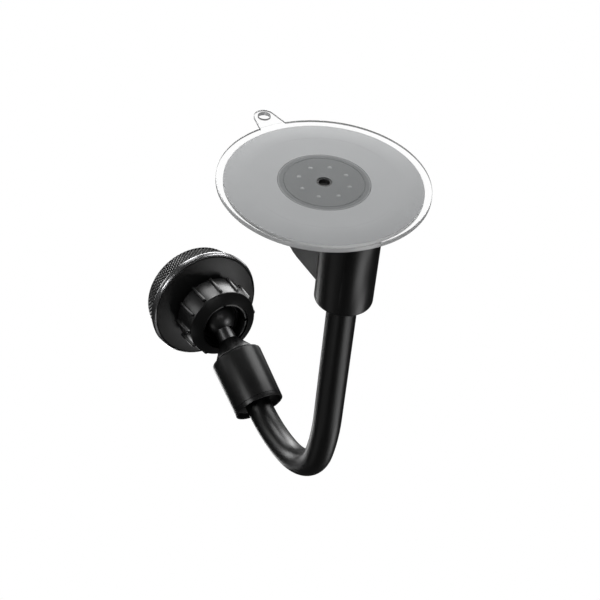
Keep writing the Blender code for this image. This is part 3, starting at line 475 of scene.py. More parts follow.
def soft_hub(colours):
    """Grey of the hub, blending towards the silicone's grey at its edge."""
    material = moulded("hub_grey", colours.hub, 0.45, swing=0.08, bump=0.05, specular=0.2)
    tree, shader, plain = reopened(material)
    reach = use(tree, about_axis(), Point=CENTRE, Axis=PLUMB).outputs["Reach"]
    edge_blend, edge_blend_share = 0.9 * MM, 0.6
    edge = product(tree, ramp(tree, reach, HUB_RADIUS - edge_blend, HUB_RADIUS), edge_blend_share)
    give(tree, shader, Base_Color=blended(tree, edge, plain, colours.silicone))
    return material


def knurled_metal(colours, sizes):
    """Blackened metal, with painted shade that turns it dull and dark in the grooves of its knurl."""
    material = turned_metal("black_anodised", colours.bezel, 0.3, BALL, HEAD_AXIS)
    tree, shader, plain = reopened(material)
    spot = use(tree, about_axis(), Point=BALL, Axis=HEAD_AXIS).outputs
    rise = product(tree, maths(tree, "SUBTRACT", spot["Along"], BEZEL_REAR), BEZEL_SLOPE)
    crest = maths(tree, "ADD", rise, BEZEL_REAR_RADIUS)
    sunk = maths(tree, "SUBTRACT", crest, spot["Reach"])
    # Painted shade: the knurl's grooves turn dull black by their depth below the crest
    crest_share, groove_shade_share = 0.1, 0.42
    groove = ramp(tree, sunk, sizes.knurl_depth * crest_share, sizes.knurl_depth * groove_shade_share)
    give(tree, shader, Base_Color=blended(tree, groove, plain, colours.black))
    give(tree, shader, Specular_IOR_Level=0.05, Metallic=maths(tree, "SUBTRACT", 1.0, groove))
    return material


def finishes(colours, sizes):
    """Every finish by name, made once."""
    made = {material.name: material for material in bpy.data.materials if material.get("mount_finish")}
    if made:
        return made
    new = [
        moulded("satin_black", colours.black, 0.33, grain=4500.0, bump=0.03, specular=0.5),
        moulded("matte_black", colours.black, 0.45, grain=4500.0, bump=0.06, specular=0.8),
        moulded("nut_black", colours.black, 0.32, grain=4500.0, bump=0.03, specular=0.7),
        moulded("sleeve_black", colours.sleeve, 0.36, drift=0.06, grain=4500.0, bump=0.015, specular=0.5),
        pale_edged(colours),
        soft_hub(colours),
        moulded("stem_dark", colours.stem, 0.45, bump=0.08),
        moulded("key_silicone", colours.keys, 0.4, swing=0.1, bump=0.05),
        moulded("pad_black", colours.pad, 0.7, grain=1500.0, bump=0.35, specular=0.2),
        moulded("black_nylon", colours.black, 0.5, grain=2000.0),
        turned_metal("bright_trim", colours.trim, 0.2, BALL, HEAD_AXIS, bump=0.03),
        knurled_metal(colours, sizes),
        turned_metal("black_stud", colours.stud, 0.36, BALL, STUD_AXIS),
        turned_metal("plated_steel", colours.steel, 0.35, CENTRE, PLUMB),
        turned_metal("head_steel", colours.steel, 0.35, BALL, HEAD_AXIS),
        turned_metal("nickel", colours.nickel, 0.18, BALL, HEAD_AXIS, bump=0.05),
        clear_gel(colours),
    ]
    for material in new:
        material["mount_finish"] = True
    return {material.name: material for material in new}


# Shapes


def spun(outline, sides, turn=2 * math.pi):
    """Bmesh of an outline of (radius, height) points turned about Z. One that starts and ends on the axis
    stays open there."""
    bm = bmesh.new()
    points = [bm.verts.new((radius, 0, height)) for radius, height in outline]
    runs = list(zip(points, points[1:]))
    if outline[0][0] > 0 or outline[-1][0] > 0:
        runs.append((points[-1], points[0]))
    edges = [bm.edges.new(run) for run in runs]
    whole = turn >= 2 * math.pi
    bmesh.ops.spin(
        bm, geom=points + edges, cent=(0, 0, 0), axis=(0, 0, 1), angle=turn, steps=sides, use_merge=whole
    )
    bmesh.ops.remove_doubles(bm, verts=bm.verts, dist=1e-7)
    return bm


def eased(corners, steps=3):
    """An outline whose corners, given as (radius, height, ease), are rounded off by their ease."""
    rounded = []
    for number, (x, y, ease) in enumerate(corners):
        corner = Vector((x, y))
        if not ease:
            rounded.append((x, y))
            continue
        before = Vector(corners[number - 1][:2]) - corner
        after = Vector(corners[(number + 1) % len(corners)][:2]) - corner
        start = corner + before.normalized() * min(ease, before.length / 2)
        end = corner + after.normalized() * min(ease, after.length / 2)
        for step in range(steps + 1):
            part = step / steps
            point = start * (1 - part) ** 2 + corner * 2 * part * (1 - part) + end * part**2
            rounded.append((point.x, point.y))
    return rounded


def slab(outline, low, high):
    """Bmesh of an (x, y) outline pushed from low to high along Z."""
    bm = bmesh.new()
    face = bm.faces.new([bm.verts.new((x, y, low)) for x, y in outline])
    grown = bmesh.ops.extrude_face_region(bm, geom=[face])["geom"]
    lifted = [item for item in grown if isinstance(item, bmesh.types.BMVert)]
    bmesh.ops.translate(bm, vec=(0, 0, high - low), verts=lifted)
    return bm


def smooth_mesh(name, bm, sharp=math.radians(32)):
    """A mesh from a bmesh, shaded smooth apart from its sharp edges."""
    bmesh.ops.recalc_face_normals(bm, faces=bm.faces)
    mesh = bpy.data.meshes.new(name)
    bm.to_mesh(mesh)
    bm.free()
    mesh.shade_smooth()
    mesh.set_sharp_from_angle(angle=sharp)
    return mesh


def shape(name, bm):
    """A loose object, for Boolean work."""
    obj = bpy.data.objects.new(name, smooth_mesh(name, bm))
    bpy.context.scene.collection.objects.link(obj)
    return obj


def settled(obj):
    """Applies the object's modifiers and returns the mesh, and removes the object."""
    graph = bpy.context.evaluated_depsgraph_get()
    mesh = bpy.data.meshes.new_from_object(obj.evaluated_get(graph))
    mesh.name = obj.name
    bpy.data.objects.remove(obj)
    return mesh


def add_copy(target, bm):
    """Adds one bmesh to another and frees it."""
    holder = bpy.data.meshes.new("holder")
    bm.to_mesh(holder)
    bm.free()
    target.from_mesh(holder)
    bpy.data.meshes.remove(holder)


def combine(obj, other, operation):
    """A Boolean of one loose object with another."""
    modifier = obj.modifiers.new(other.name, "BOOLEAN")
    modifier.operation = operation
    modifier.solver = "EXACT"
    modifier.object = other


def ease_edges(obj, width, hard):
    """Rounds off the edges of a loose object that turn by more than an angle."""
    bevel = obj.modifiers.new("ease", "BEVEL")
    bevel.width = width
    bevel.segments = 2
    bevel.limit_method = "ANGLE"
    bevel.angle_limit = hard


def finished(name, mesh, finish):
    """An object in the scene with its finish."""
    mesh.materials.clear()
    mesh.materials.append(finish)
    obj = bpy.data.objects.new(name, mesh)
    bpy.context.scene.collection.objects.link(obj)
    return obj


def piece(name, mesh, finish, body, nodes=()):
    """A piece of the dressing that rides on a body and stands for nodes of the part."""
    obj = finished(name, mesh, finish)
    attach(obj, body)
    if nodes:
        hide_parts(*nodes)
    return obj


def bending_piece(name, mesh, finish, nodes):
    """A piece set in place in the world, which stands for nodes of the part."""
    obj = finished(name, mesh, finish)
    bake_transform(obj)
    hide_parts(*nodes)
    return obj


def dish_radii(sizes, inner):
    """Radii of the rings of a soft face, from its inner edge out to the flex radius."""
    rings = 8
    return [inner + (sizes.flex - inner) * number / rings for number in range(rings + 1)]


def dishing_ring(name, corners, finish, nodes):
    """A soft ring about Z, built in sectors."""
    sectors, sides = 12, 11
    turn = 2 * math.pi / sectors
    for number in range(sectors):
        middle = turn * number
        sector = spun(eased(corners), sides, turn)
        place = Matrix.Rotation(middle - turn / 2, 4, "Z")
        bmesh.ops.transform(sector, matrix=place, verts=sector.verts)
        label = f"{name}_{number + 1}"
        mesh = smooth_mesh(label, sector)
        bending_piece(label, mesh, finish, nodes)


def turned(name, outline, finish, body, nodes=(), place=None, sides=96):
    """A turned piece, from its outline in a frame of its own."""
    bm = spun(outline, sides)
    if place:
        bmesh.ops.transform(bm, matrix=place, verts=bm.verts)
    return piece(name, smooth_mesh(name, bm), finish, body, nodes)


def eased_copy(name, node, ease, finish, body):
    """A node's own shape with its hard edges rounded off."""
    bm = bmesh.new()
    bm.from_mesh(frame["nodes"][node].data)
    bmesh.ops.remove_doubles(bm, verts=bm.verts, dist=1e-6)
    flat, hard, sharp = math.radians(1), math.radians(40), math.radians(38)
    bmesh.ops.dissolve_limit(bm, angle_limit=flat, verts=bm.verts, edges=bm.edges)
    obj = shape(name, bm)
    ease_edges(obj, ease, hard)
    mesh = settled(obj)
    mesh.shade_smooth()
    mesh.set_sharp_from_angle(angle=sharp)
    return piece(name, mesh, finish, body, [node])


def settings(context):
    """The sizes that are set, and the finishes made from the colours."""
    sizes = context.scene.mount_sizes
    return sizes, finishes(context.scene.mount_colours, sizes)


# Operators, one for each piece or group of like pieces


class MOUNT_OT_gel(bpy.types.Operator):
    """Clear gel disc with its rounded rim and pull tab, and the skin inside it"""

    bl_idname = "mount.gel"
    bl_label = "Gel pad"

    disc_sides = 160
    hole_sides = 40
    arc = 24

    def execute(self, context):
        sizes, finish = settings(context)
        inner = PAD_RADIUS - sizes.gel_rim
        edge = sizes.edge
        rim = [(sizes.flex, 0, 0), (PAD_RADIUS, 0, edge), (PAD_RADIUS, -RIM_HEIGHT, edge)]
        rim += [(inner, -RIM_HEIGHT, edge / 2), (inner, -sizes.gel_skin, edge / 2)]
        rim += [(sizes.flex, -sizes.gel_skin, 0)]
        disc = shape("gel_disc", spun(eased(rim), self.disc_sides))
        head = TAB_END - sizes.tab_head
        half = sizes.tab_width / 2
        root = PAD_RADIUS - sizes.gel_rim / 2
        lean = math.atan2(half - sizes.tab_head, head - root)
        turns = [(lean - math.pi / 2) * (1 - 2 * step / self.arc) for step in range(self.arc + 1)]
        outline = [(root, -half)]
        outline += [(head + sizes.tab_head * math.cos(t), sizes.tab_head * math.sin(t)) for t in turns]
        outline.append((root, half))
        low, high = -RIM_HEIGHT * 0.9, -RIM_HEIGHT * 0.1
        tab = shape("gel_tab", slab(outline, low, high))
        ease_edges(tab, edge * 0.6, math.radians(30))
        above, below = RIM_HEIGHT, -3 * RIM_HEIGHT
        bore = [(0, above), (sizes.tab_hole, above), (sizes.tab_hole, below), (0, below)]
        hole = spun(bore, self.hole_sides)
        bmesh.ops.translate(hole, vec=(head, 0, 0), verts=hole.verts)
        punch = shape("tab_punch", hole)
        combine(disc, tab, "UNION")
        combine(disc, punch, "DIFFERENCE")
        mesh = settled(disc)
        mesh.set_sharp_from_angle(angle=math.radians(40))
        for helper in (tab, punch):
            bpy.data.objects.remove(helper)
        piece("gel_disc", mesh, finish["clear_gel"], "base", ["gel_pad"])
        radii = dish_radii(sizes, HUB_RADIUS)
        skin = [(sizes.gel_hole, 0, edge / 3)] + [(radius, 0, 0) for radius in radii]
        skin += [(radius, -sizes.gel_skin, 0) for radius in reversed(radii)]
        skin += [(sizes.gel_hole, -sizes.gel_skin, edge / 3)]
        dishing_ring("gel_skin", skin, finish["clear_gel"], ["gel_pad"])
        return {"FINISHED"}


class MOUNT_OT_cup(bpy.types.Operator):
    """Grey cup membrane, the hub in its middle and the keys that hold them together"""

    bl_idname = "mount.cup"
    bl_label = "Suction cup"

    keys = 8
    key_sides = 20
    first_key = math.pi / 64

    def execute(self, context):
        sizes, finish = settings(context)
        seam = 0.03 * MM
        inner = HUB_RADIUS + seam
        edge = sizes.edge / 2
        fall = sizes.dish / (CUP_RADIUS - inner)
        radii = dish_radii(sizes, inner)
        membrane = [(radius, CUP_FACE + (CUP_RADIUS - radius) * fall, 0) for radius in radii]
        membrane += [(CUP_RADIUS, CUP_FACE, edge), (CUP_RADIUS, CUP_BACK, edge)]
        membrane += [(radius, CUP_BACK, 0) for radius in reversed(radii)]
        dishing_ring("cup_membrane", membrane, finish["grey_silicone"], ["suction_cup"])
        groove = 0.05 * MM
        line = sizes.hub_line
        top = HUB_FACE + 0.2 * MM
        face = [(sizes.gel_hole - groove, HUB_FACE + groove / 2), (sizes.gel_hole - groove / 2, top)]
        for centre in (line, line + 5 * groove):
            face += [(centre - groove, top), (centre, top - groove), (centre + groove, top)]
        face += [(HUB_RADIUS - edge, top), (HUB_RADIUS, HUB_FACE + groove / 2)]
        turned("hub_face", face, finish["hub_grey"], "stem")
        plugs = bmesh.new()
        crown, shoulder, rim, root = 0.05 * MM, 0.04 * MM, -0.02 * MM, HUB_FACE - MM
        dome = [(0, top + crown), (sizes.key_radius * 0.7, top + shoulder), (sizes.key_radius, top + rim)]
        dome += [(sizes.key_radius, root), (0, root)]
        for number in range(self.keys):
            plug = spun(dome, self.key_sides)
            turn = self.first_key + 2 * math.pi / self.keys * number
            offset = (sizes.key_ring * math.cos(turn), sizes.key_ring * math.sin(turn), 0)
            bmesh.ops.translate(plug, vec=offset, verts=plug.verts)
            add_copy(plugs, plug)
        piece("hub_keys", smooth_mesh("hub_keys", plugs), finish["key_silicone"], "stem")
        return {"FINISHED"}


class MOUNT_OT_base(bpy.types.Operator):
    """Black base moulding with its neck, and the locking lever"""

    bl_idname = "mount.base"
    bl_label = "Base and lever"

    def execute(self, context):
        sizes, finish = settings(context)
        eased_copy("base_shell", "base_housing", sizes.edge, finish["satin_black"], "base")
        eased_copy("lever_shell", "locking_lever", sizes.edge, finish["satin_black"], "lever")
        return {"FINISHED"}


def arm_bends():
    """Radius and length of the arm's bends after its straight run, along its centreline."""
    return ((100.0 * MM, 23.8 * MM), (29.9 * MM, 35.5 * MM), (48.8 * MM, 26.25 * MM))


def arm_station(travel, straight):
    """Point and heading of the arm's centreline, some way past the neck's end. The heading is zero where the
    arm runs down, and turns towards +X."""
    run = min(travel, straight)
    x, z, heading = NECK_X, NECK_END - run, 0.0
    left = travel - run
    for radius, span in arm_bends():
        step = min(left, span)
        turn = heading + step / radius
        x += radius * (math.cos(heading) - math.cos(turn))
        z -= radius * (math.sin(turn) - math.sin(heading))
        heading = turn
        left -= step
    return Vector((x + left * math.sin(heading), 0, z - left * math.cos(heading))), heading


class MOUNT_OT_arm(bpy.types.Operator):
    """Smooth sleeve of the gooseneck, in lengths that meet midway between its hinges"""

    bl_idname = "mount.arm"
    bl_label = "Gooseneck sleeve"

    sides = 48
    pitch = 1.2 * MM
    # How far the sleeve reaches into the neck and the collar
    tuck = 6.0 * MM
    # Distance to either side of each hinge
    reach = 9.0 * MM
    # How far the last hinge stands before the arm's end
    last_hinge = 13.0 * MM

    def length_of_sleeve(self, start, end, straight):
        """Open tube between two travels, with the exact normals of a round sleeve."""
        steps = max(2, round((end - start) / self.pitch))
        bm = bmesh.new()
        loops, normals = [], []
        for step in range(steps + 1):
            centre, heading = arm_station(start + (end - start) * step / steps, straight)
            across = Vector((math.cos(heading), 0, math.sin(heading)))
            loop = []
            for number in range(self.sides):
                turn = 2 * math.pi * number / self.sides
                out = across * math.cos(turn) + Vector((0, math.sin(turn), 0))
                loop.append(bm.verts.new(centre + out * ARM_RADIUS))
                normals.append(out)
            loops.append(loop)
        for low, high in zip(loops, loops[1:]):
            for spot in range(self.sides):
                after = (spot + 1) % self.sides
                bm.faces.new((low[spot], high[spot], high[after], low[after]))
        return bm, normals

    def execute(self, context):
        sizes, finish = settings(context)
        total = sizes.straight + sum(span for _, span in arm_bends())
        hinges = [name for name in JOINTS if name.startswith(("arm_curl", "arm_sway"))]
        first = NECK_END - JOINTS["arm_curl_1"]["pos_m"][2]
        last = total - self.last_hinge
        travels = [first + (last - first) * number / (len(hinges) - 1) for number in range(len(hinges))]
        middles = [(before + after) / 2 for before, after in zip(travels, travels[1:])]
        cuts = [-self.tuck] + middles + [total + self.tuck]
        for number, (name, travel) in enumerate(zip(hinges, travels)):
            bm, normals = self.length_of_sleeve(cuts[number], cuts[number + 1], sizes.straight)
            label = f"sleeve_length_{number + 1}"
            mesh = bpy.data.meshes.new(label)
            bm.to_mesh(mesh)
            bm.free()
            mesh.shade_smooth()
            mesh.normals_split_custom_set_from_vertices([tuple(n) for n in normals])
            start = arm_station(travel - self.reach, sizes.straight)[0]
            end = arm_station(travel + self.reach, sizes.straight)[0]
            nodes = [f"arm_sleeve_{number + 1}"]
            if number == len(hinges) - 1:
                nodes.append(f"arm_sleeve_{number + 2}")
            bending_piece(label, mesh, finish["sleeve_black"], nodes)
        return {"FINISHED"}


class MOUNT_OT_collar(bpy.types.Operator):
    """Tapered collar, ball stud and its cone"""

    bl_idname = "mount.collar"
    bl_label = "Collar and ball stud"

    stud_sides = 64
    arc = 24

    def execute(self, context):
        sizes, finish = settings(context)
        waist = 4.1 * MM
        ball = 8.5 * MM
        neck, cone_height, cone_gap = 5.45 * MM, 8.0 * MM, 0.3 * MM
        cone_top = -(math.sqrt(ball**2 - waist**2) + neck)
        cone_foot = cone_top - cone_height
        foot = cone_foot - cone_gap - sizes.collar_length
        top = foot + sizes.collar_length
        lip = foot + sizes.collar_lip
        line = 0.12 * MM
        bore = ARM_RADIUS + 0.25 * MM
        cavity = 7.8 * MM
        step = foot + 8.3 * MM
        wall = sizes.collar_foot
        recess = foot + 2.6 * MM
        rim = wall - 0.9 * MM
        outline = [(bore, recess, 0.2 * MM), (rim - 0.5 * MM, recess, 0.4 * MM), (rim, foot, 0.2 * MM)]
        outline += [(wall, foot, 0.25 * MM)]
        outline += [(wall + line / 2, lip - line, 0), (wall - line, lip, 0), (wall + line / 2, lip + line, 0)]
        mouth, shoulder = 9.0 * MM, 1.3 * MM
        outline += [(sizes.collar_top, top - 0.2 * MM, shoulder), (mouth, top, 0.3 * MM)]
        outline += [(cavity, top - MM, 0), (cavity, step, 0), (bore, step, 0)]
        black = finish["satin_black"]
        turned("collar_shell", eased(outline), black, "tip", ["collar"], STUD_FRAME)
        sweep = math.asin(waist / ball) - math.pi
        turns = [math.pi / 2 + sweep * part / self.arc for part in range(self.arc + 1)]
        stud = [(max(0.0, ball * math.cos(t)), ball * math.sin(t)) for t in turns]
        stud[0] = (0, ball)
        shank = 3.5 * MM
        shank_end = cone_foot - 13.0 * MM
        stud += [(waist, cone_top - MM), (shank, cone_top - MM), (shank, shank_end), (0, shank_end)]
        steel = finish["black_stud"]
        turned("stud_turned", stud, steel, "stud", ["ball_stud"], STUD_FRAME, self.stud_sides)
        cone_rim = 9.4 * MM
        cone = [(shank, cone_top, 0), (waist + 0.2 * MM, cone_top, 0.2 * MM)]
        cone += [(cone_rim, cone_foot + 0.5 * MM, 0.3 * MM), (cone_rim - 0.2 * MM, cone_foot, 0)]
        cone += [(shank, cone_foot, 0)]
        turned("stud_cone", eased(cone), black, "stud", (), STUD_FRAME, self.stud_sides)
        return {"FINISHED"}


class MOUNT_OT_nut(bpy.types.Operator):
    """Lock nut with its rounded ribs, and the slotted collet inside its mouth"""

    bl_idname = "mount.nut"
    bl_label = "Lock nut"

    sides = 96
    rib_arc = 6
    # Power that squares the rib's round back a little
    rib_round = 0.8
    # Width of a rib's lowest end, and what full height adds to it, as shares of its width
    rib_narrow, rib_widen = 0.82, 0.18
    rib_foot = 1.1

    def rib(self, sizes, front, rear, front_radius, rear_radius):
        """One rounded rib along the nut's wall, at +X."""
        half = sizes.rib_width / 2
        bm = bmesh.new()
        loops = []
        sunk = -0.3 * MM
        ends = [(front, 0.25), (front + 0.35 * MM, 0.8), (front + 0.9 * MM, 1.0)]
        ends += [(rear - 0.5 * MM, 1.0), (rear, 0.85)]
        for height, lift in ends:
            part = (height - front) / (rear - front)
            wall = front_radius + (rear_radius - front_radius) * part
            loop = [bm.verts.new((wall + sunk, -half * self.rib_foot, height))]
            for turn in range(self.rib_arc + 1):
                angle = math.pi * turn / self.rib_arc
                across = -half * math.cos(angle) * (self.rib_narrow + self.rib_widen * lift)
                crown = math.sin(angle) ** self.rib_round * sizes.rib_height * lift
                loop.append(bm.verts.new((wall + crown, across, height)))
            loop.append(bm.verts.new((wall + sunk, half * self.rib_foot, height)))
            loops.append(loop)
        for low, high in zip(loops, loops[1:]):
            for spot in range(len(low)):
                after = (spot + 1) % len(low)
                bm.faces.new((low[spot], low[after], high[after], high[spot]))
        bm.faces.new(loops[0])
        bm.faces.new(loops[-1])
        return bm

    def execute(self, context):
        sizes, finish = settings(context)
        mouth, face = 11.27 * MM, 16.13 * MM
        front, edge_at, rear = -8.9 * MM, -6.0 * MM, 6.4 * MM
        wall, bore = 16.7 * MM, 12.9 * MM
        edge = sizes.edge
        shoulder, throat = -5.1 * MM, -8.5 * MM
        outline = [(mouth, front, edge / 2), (face, edge_at, edge), (wall, rear, edge)]
        outline += [(bore, rear, edge / 2), (bore, shoulder, 0), (mouth, throat, 0)]
        nut = spun(eased(outline), self.sides)
        rib_front, lift = edge_at + 0.9 * MM, 0.04 * MM
        for number in range(sizes.rib_count):
            rib = self.rib(sizes, rib_front, rear, face + lift, wall)
            turn = Matrix.Rotation(2 * math.pi * number / sizes.rib_count, 3, "Z")
            bmesh.ops.rotate(rib, matrix=turn, verts=rib.verts)
            add_copy(nut, rib)
        bmesh.ops.transform(nut, matrix=HEAD_FRAME, verts=nut.verts)
        mesh = smooth_mesh("nut_ribbed", nut)
        piece("nut_ribbed", mesh, finish["nut_black"], "nut", ["lock_nut"])
        eased_copy("collet_shell", "socket_collet", sizes.edge / 2, finish["satin_black"], "head")
        return {"FINISHED"}


class MOUNT_OT_head(bpy.types.Operator):
    """Back plate, bright ring, knurled bezel and soft face of the head"""

    bl_idname = "mount.head"
    bl_label = "Magnetic head"

    plate_sides = 128
    ring_sides = 160

    def bezel(self, sizes):
        """Bezel whose outside is cut by slanting grooves, with shallower ones across them."""
        rear, front = BEZEL_REAR, BEZEL_FRONT
        inner, lip, lip_depth = 22.3 * MM, 21.2 * MM, 1.2 * MM
        land = 0.5 * MM
        steps = 4
        around, along = steps * sizes.knurl_count, steps * sizes.knurl_rows

        def outside(height):
            """Radius of the bezel's outside before it is cut."""
            return BEZEL_REAR_RADIUS + BEZEL_SLOPE * (height - rear)

        def groove(turns):
            """Depth share of a groove: one at its floor, none at the crest on either side."""
            return 1 - abs(2 * (turns % 1) - 1)

        def cut(number, row):
            """Depth of the knurl at one of its points."""
            main = groove((number - row) / steps)
            cross = groove((number + row) / steps) * sizes.knurl_cross
            return sizes.knurl_depth * max(main, cross)

        bm = bmesh.new()
        rings = []

        def ring(radius_of, height):
            """A ring of points, each with the radius that its number gives."""
            loop = []
            for number in range(around):
                turn = 2 * math.pi * number / around
                radius = radius_of(number)
                loop.append(bm.verts.new((radius * math.cos(turn), radius * math.sin(turn), height)))
            rings.append(loop)

        def plain(radius, height):
            """A round ring."""
            ring(lambda _: radius, height)

        plain(inner, rear + 0.3 * MM)
        plain(inner + 0.4 * MM, rear)
        plain(outside(rear) - 0.2 * MM, rear)
        plain(outside(rear) - 0.05 * MM, rear + 0.2 * MM)
        first = len(rings)
        for row in range(along + 1):
            height = rear + land + (front - rear - 2 * land) * row / along
            ring(lambda number: outside(height) - cut(number, row), height)
        last = len(rings) - 1
        plain(outside(front) - 0.1 * MM, front - 0.2 * MM)
        plain(outside(front) - 0.35 * MM, front)
        plain(lip + 0.3 * MM, front)
        plain(lip, front - 0.3 * MM)
        plain(lip, front - lip_depth)
        plain(inner, front - lip_depth)
        pairs = list(zip(rings, rings[1:])) + [(rings[-1], rings[0])]
        for row, (low, high) in enumerate(pairs):
            for spot in range(around):
                after = (spot + 1) % around
                corners = (low[spot], low[after], high[after], high[spot])
                if first <= row < last:
                    a, b, c, d = corners
                    bm.faces.new((a, b, c))
                    bm.faces.new((a, c, d))
                else:
                    bm.faces.new(corners)
        return bm

    def execute(self, context):
        sizes, finish = settings(context)
        edge = sizes.edge
        hub, rim, plate_edge = 9.4 * MM, 11.45 * MM, 24.9 * MM
        hole, skirt_in, skirt = 12.9 * MM, 20.6 * MM, 22.0 * MM
        plate = [(hole, hub, edge / 2), (hole + 3 * MM, hub + 0.2 * MM, 0), (plate_edge, rim, edge)]
        plate_front, skirt_front = 13.2 * MM, 15.2 * MM
        plate += [(plate_edge, plate_front, 0), (skirt, plate_front, 0), (skirt, skirt_front, 0)]
        plate += [(skirt_in, skirt_front, 0), (skirt_in, plate_front, 0), (hole, plate_front, 0)]
        matte = finish["matte_black"]
        back = ["back_plate"]
        sides = self.plate_sides
        turned("back_turned", eased(plate), matte, "head", back, HEAD_FRAME, sides)
        ring_in, ring_ridge, ring_front = 25.2 * MM, 25.85 * MM, 26.36 * MM
        ridge_at, front_at, ring_end, ring_edge = 12.2 * MM, 13.45 * MM, 13.6 * MM, 0.05 * MM
        ring = [(ring_in, rim, ring_edge), (ring_ridge, ridge_at, ring_edge)]
        ring += [(ring_front, front_at, ring_edge), (ring_front, ring_end, 0), (ring_in, ring_end, 0)]
        bright = finish["bright_trim"]
        turned("trim_turned", eased(ring), bright, "head", ["trim_ring"], HEAD_FRAME, self.ring_sides)
        bm = self.bezel(sizes)
        bmesh.ops.transform(bm, matrix=HEAD_FRAME, verts=bm.verts)
        knurled = smooth_mesh("bezel_knurled", bm, math.radians(12))
        piece("bezel_knurled", knurled, finish["black_anodised"], "head", ["knurled_bezel"])
        low, high, reach = 23.4 * MM, 25.1 * MM, 20.9 * MM
        line = high - 0.15 * MM
        pad = [(0, high), (reach - 2.4 * MM, high), (reach - 2.2 * MM, line)]
        pad += [(reach - 1.9 * MM, line), (reach - 1.7 * MM, high)]
        pad += eased([(reach - 1.7 * MM, high, 0), (reach, high, 0.4 * MM), (reach, low, 0)])[1:]
        pad.append((0, low))
        turned("pad_turned", pad, finish["pad_black"], "head", ["face_pad"], HEAD_FRAME)
        return {"FINISHED"}


class MOUNT_OT_inner_parts(bpy.types.Operator):
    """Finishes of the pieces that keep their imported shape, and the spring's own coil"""

    bl_idname = "mount.inner_parts"
    bl_label = "Inner parts"

    def spring(self, steel):
        """The spring's own coil, shaded smooth."""
        mesh = frame["nodes"]["return_spring"].data.copy()
        mesh.shade_smooth()
        coil = piece("spring_coil", mesh, steel, "base", ["return_spring"])
        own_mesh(coil)

    def execute(self, context):
        _, finish = settings(context)
        by_slot = {
            "gel": "clear_gel",
            "silicone": "grey_silicone",
            "stem_plastic": "stem_dark",
            "black_plastic": "satin_black",
            "sleeve": "sleeve_black",
            "steel": "plated_steel",
            "stud": "black_stud",
            "seat_nylon": "black_nylon",
            "trim": "bright_trim",
            "bezel": "black_anodised",
            "magnet": "nickel",
            "pad": "pad_black",
        }
        in_head = frame["record"]["behaviour"]["bodies"]["head"]
        for node, obj in frame["nodes"].items():
            name = by_slot[SLOT_OF[node]]
            if name == "plated_steel" and node in in_head:
                name = "head_steel"
            obj.data.materials.clear()
            obj.data.materials.append(finish[name])
        self.spring(finish["plated_steel"])
        return {"FINISHED"}


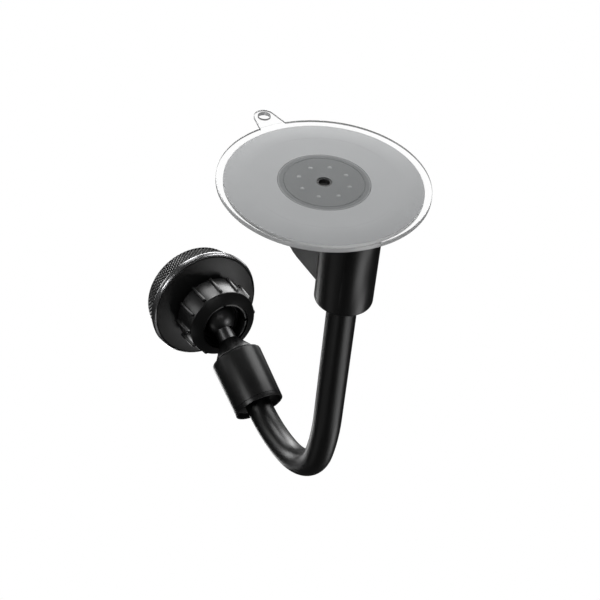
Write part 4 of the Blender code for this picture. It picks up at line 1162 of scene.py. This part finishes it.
class MOUNT_OT_stage(bpy.types.Operator):
    """Pale floor, soft light and the camera"""

    bl_idname = "mount.stage"
    bl_label = "Stage"

    floor_level = -1.2
    floor_size = 6.0
    floor_grey = 0.2
    sky_strength = 0.02
    mirrored_share = 0.02
    lamp_aim = Vector((0.0, 0.0, -0.07))
    lamp_distance = 0.7
    lamp_spread = math.radians(80)
    # Soft lamps round the object: name, azimuth and elevation in degrees, size in metres and power in watts
    lamps = (
        ("back_low", 330, 14, 0.42, 0.95),
        ("back_middle", 0, 30, 0.26, 0.15),
        ("back_high", 0, 50, 0.26, 0.32),
        ("back_under", 0, -50, 0.26, 0.14),
        ("right_middle", 288, 30, 0.26, 0.18),
        ("right_high", 288, 50, 0.26, 0.18),
        ("right_under", 312, -10, 0.26, 0.05),
        ("left_back", 24, -10, 0.26, 0.25),
        ("left_low", 48, 10, 0.26, 0.09),
        ("left_middle", 96, 30, 0.26, 0.29),
        ("left_under", 90, -50, 0.26, 0.01),
        ("front_high", 180, 50, 0.26, 0.16),
        ("front_left_under", 120, -30, 0.26, 0.025),
        ("front_under", 196, -28, 0.3, 0.16),
        ("front_right_low", 216, -10, 0.26, 0.13),
        ("front_right_under", 225, -50, 0.26, 0.08),
    )

    def add_lamp(self, context, name, azimuth, elevation, size, power):
        """A soft square lamp that faces the object."""
        round_by, up_by = math.radians(azimuth), math.radians(elevation)
        level = math.cos(up_by)
        toward = Vector((math.cos(round_by) * level, math.sin(round_by) * level, math.sin(up_by)))
        data = bpy.data.lights.new(name, "AREA")
        data.shape = "SQUARE"
        data.size = size
        data.energy = power
        data.spread = self.lamp_spread
        lamp = bpy.data.objects.new(name, data)
        lamp.location = self.lamp_aim + toward * self.lamp_distance
        lamp.rotation_euler = toward.to_track_quat("Z", "Y").to_euler()
        lamp.visible_camera = False
        context.scene.collection.objects.link(lamp)

    def white_to_the_eye(self, tree, plain, output):
        """White where it is seen straight, in part where it is mirrored, and the plain shader elsewhere."""
        path = tree.nodes.new("ShaderNodeLightPath").outputs
        lit = "ShaderNodeEmission" if output == "ShaderNodeOutputMaterial" else "ShaderNodeBackground"
        glow = new_node(tree, lit, Color=(1, 1, 1, 1), Strength=1.0)
        mirrored = product(tree, path["Is Glossy Ray"], self.mirrored_share)
        seen = maths(tree, "ADD", path["Is Camera Ray"], path["Is Transmission Ray"])
        share = new_node(tree, "ShaderNodeClamp", Value=maths(tree, "ADD", seen, mirrored))
        mix = tree.nodes.new("ShaderNodeMixShader")
        for socket, source in zip(mix.inputs, (share, plain, glow)):
            tree.links.new(source.outputs[0], socket)
        new_node(tree, output, Surface=mix.outputs[0])

    def execute(self, context):
        scene = context.scene
        scene.view_settings.view_transform = "Standard"
        bm = bmesh.new()
        bmesh.ops.create_grid(bm, x_segments=4, y_segments=4, size=self.floor_size)
        floor = bpy.data.objects.new("floor", smooth_mesh("floor", bm))
        floor.location.z = self.floor_level
        scene.collection.objects.link(floor)
        paper = bpy.data.materials.new("floor_paper")
        paper.use_nodes = True
        paper.node_tree.nodes.clear()
        grey = (self.floor_grey, self.floor_grey, self.floor_grey, 1)
        plain = new_node(paper.node_tree, "ShaderNodeBsdfDiffuse", Color=grey)
        self.white_to_the_eye(paper.node_tree, plain, "ShaderNodeOutputMaterial")
        floor.data.materials.append(paper)
        world = bpy.data.worlds.new("studio")
        scene.world = world
        world.use_nodes = True
        world.node_tree.nodes.clear()
        white = (1, 1, 1, 1)
        sky = new_node(world.node_tree, "ShaderNodeBackground", Color=white, Strength=self.sky_strength)
        self.white_to_the_eye(world.node_tree, sky, "ShaderNodeOutputWorld")
        for lamp in self.lamps:
            self.add_lamp(context, *lamp)
        data = bpy.data.cameras.new("camera")
        data.lens = CAMERA_LENS
        data.sensor_width = CAMERA_SENSOR
        data.clip_start = 0.01
        camera = bpy.data.objects.new("camera", data)
        look = Vector(CAMERA_AIM) - Vector(CAMERA_PLACE)
        turn = look.to_track_quat("-Z", "Y").to_matrix().to_4x4() @ Matrix.Rotation(CAMERA_ROLL, 4, "Z")
        camera.matrix_world = Matrix.Translation(CAMERA_PLACE) @ turn
        scene.collection.objects.link(camera)
        scene.camera = camera
        return {"FINISHED"}


OPERATORS = (
    MOUNT_OT_stage,
    MOUNT_OT_inner_parts,
    MOUNT_OT_gel,
    MOUNT_OT_cup,
    MOUNT_OT_base,
    MOUNT_OT_arm,
    MOUNT_OT_collar,
    MOUNT_OT_nut,
    MOUNT_OT_head,
)


class MOUNT_PT_dressing(bpy.types.Panel):
    """Lists the pieces of the dressing with their sizes and colours"""

    bl_idname = "MOUNT_PT_dressing"
    bl_label = "Phone mount"
    bl_space_type = "VIEW_3D"
    bl_region_type = "UI"
    bl_category = "Phone mount"

    def draw(self, context):
        for operator in OPERATORS:
            self.layout.operator(operator.bl_idname)
        for group in (context.scene.mount_sizes, context.scene.mount_colours):
            box = self.layout.box()
            for name in group.__annotations__:
                box.prop(group, name)


CLASSES = (MountSizes, MountColours, *OPERATORS, MOUNT_PT_dressing)


def register():
    """Makes the classes and the two groups of settings known to Blender."""
    for cls in CLASSES:
        bpy.utils.register_class(cls)
    bpy.types.Scene.mount_sizes = PointerProperty(type=MountSizes)
    bpy.types.Scene.mount_colours = PointerProperty(type=MountColours)


def unregister():
    """Takes back what register did."""
    del bpy.types.Scene.mount_colours
    del bpy.types.Scene.mount_sizes
    for cls in reversed(CLASSES):
        bpy.utils.unregister_class(cls)


def main():
    """Builds every piece."""
    for obj in [o for o in bpy.data.objects if o.name in ("Cube", "Light", "Camera")]:
        bpy.data.objects.remove(obj)
    register()
    for operator in OPERATORS:
        group, name = operator.bl_idname.split(".")
        getattr(getattr(bpy.ops, group), name)()
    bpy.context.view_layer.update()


if __name__ == "__main__":
    main()
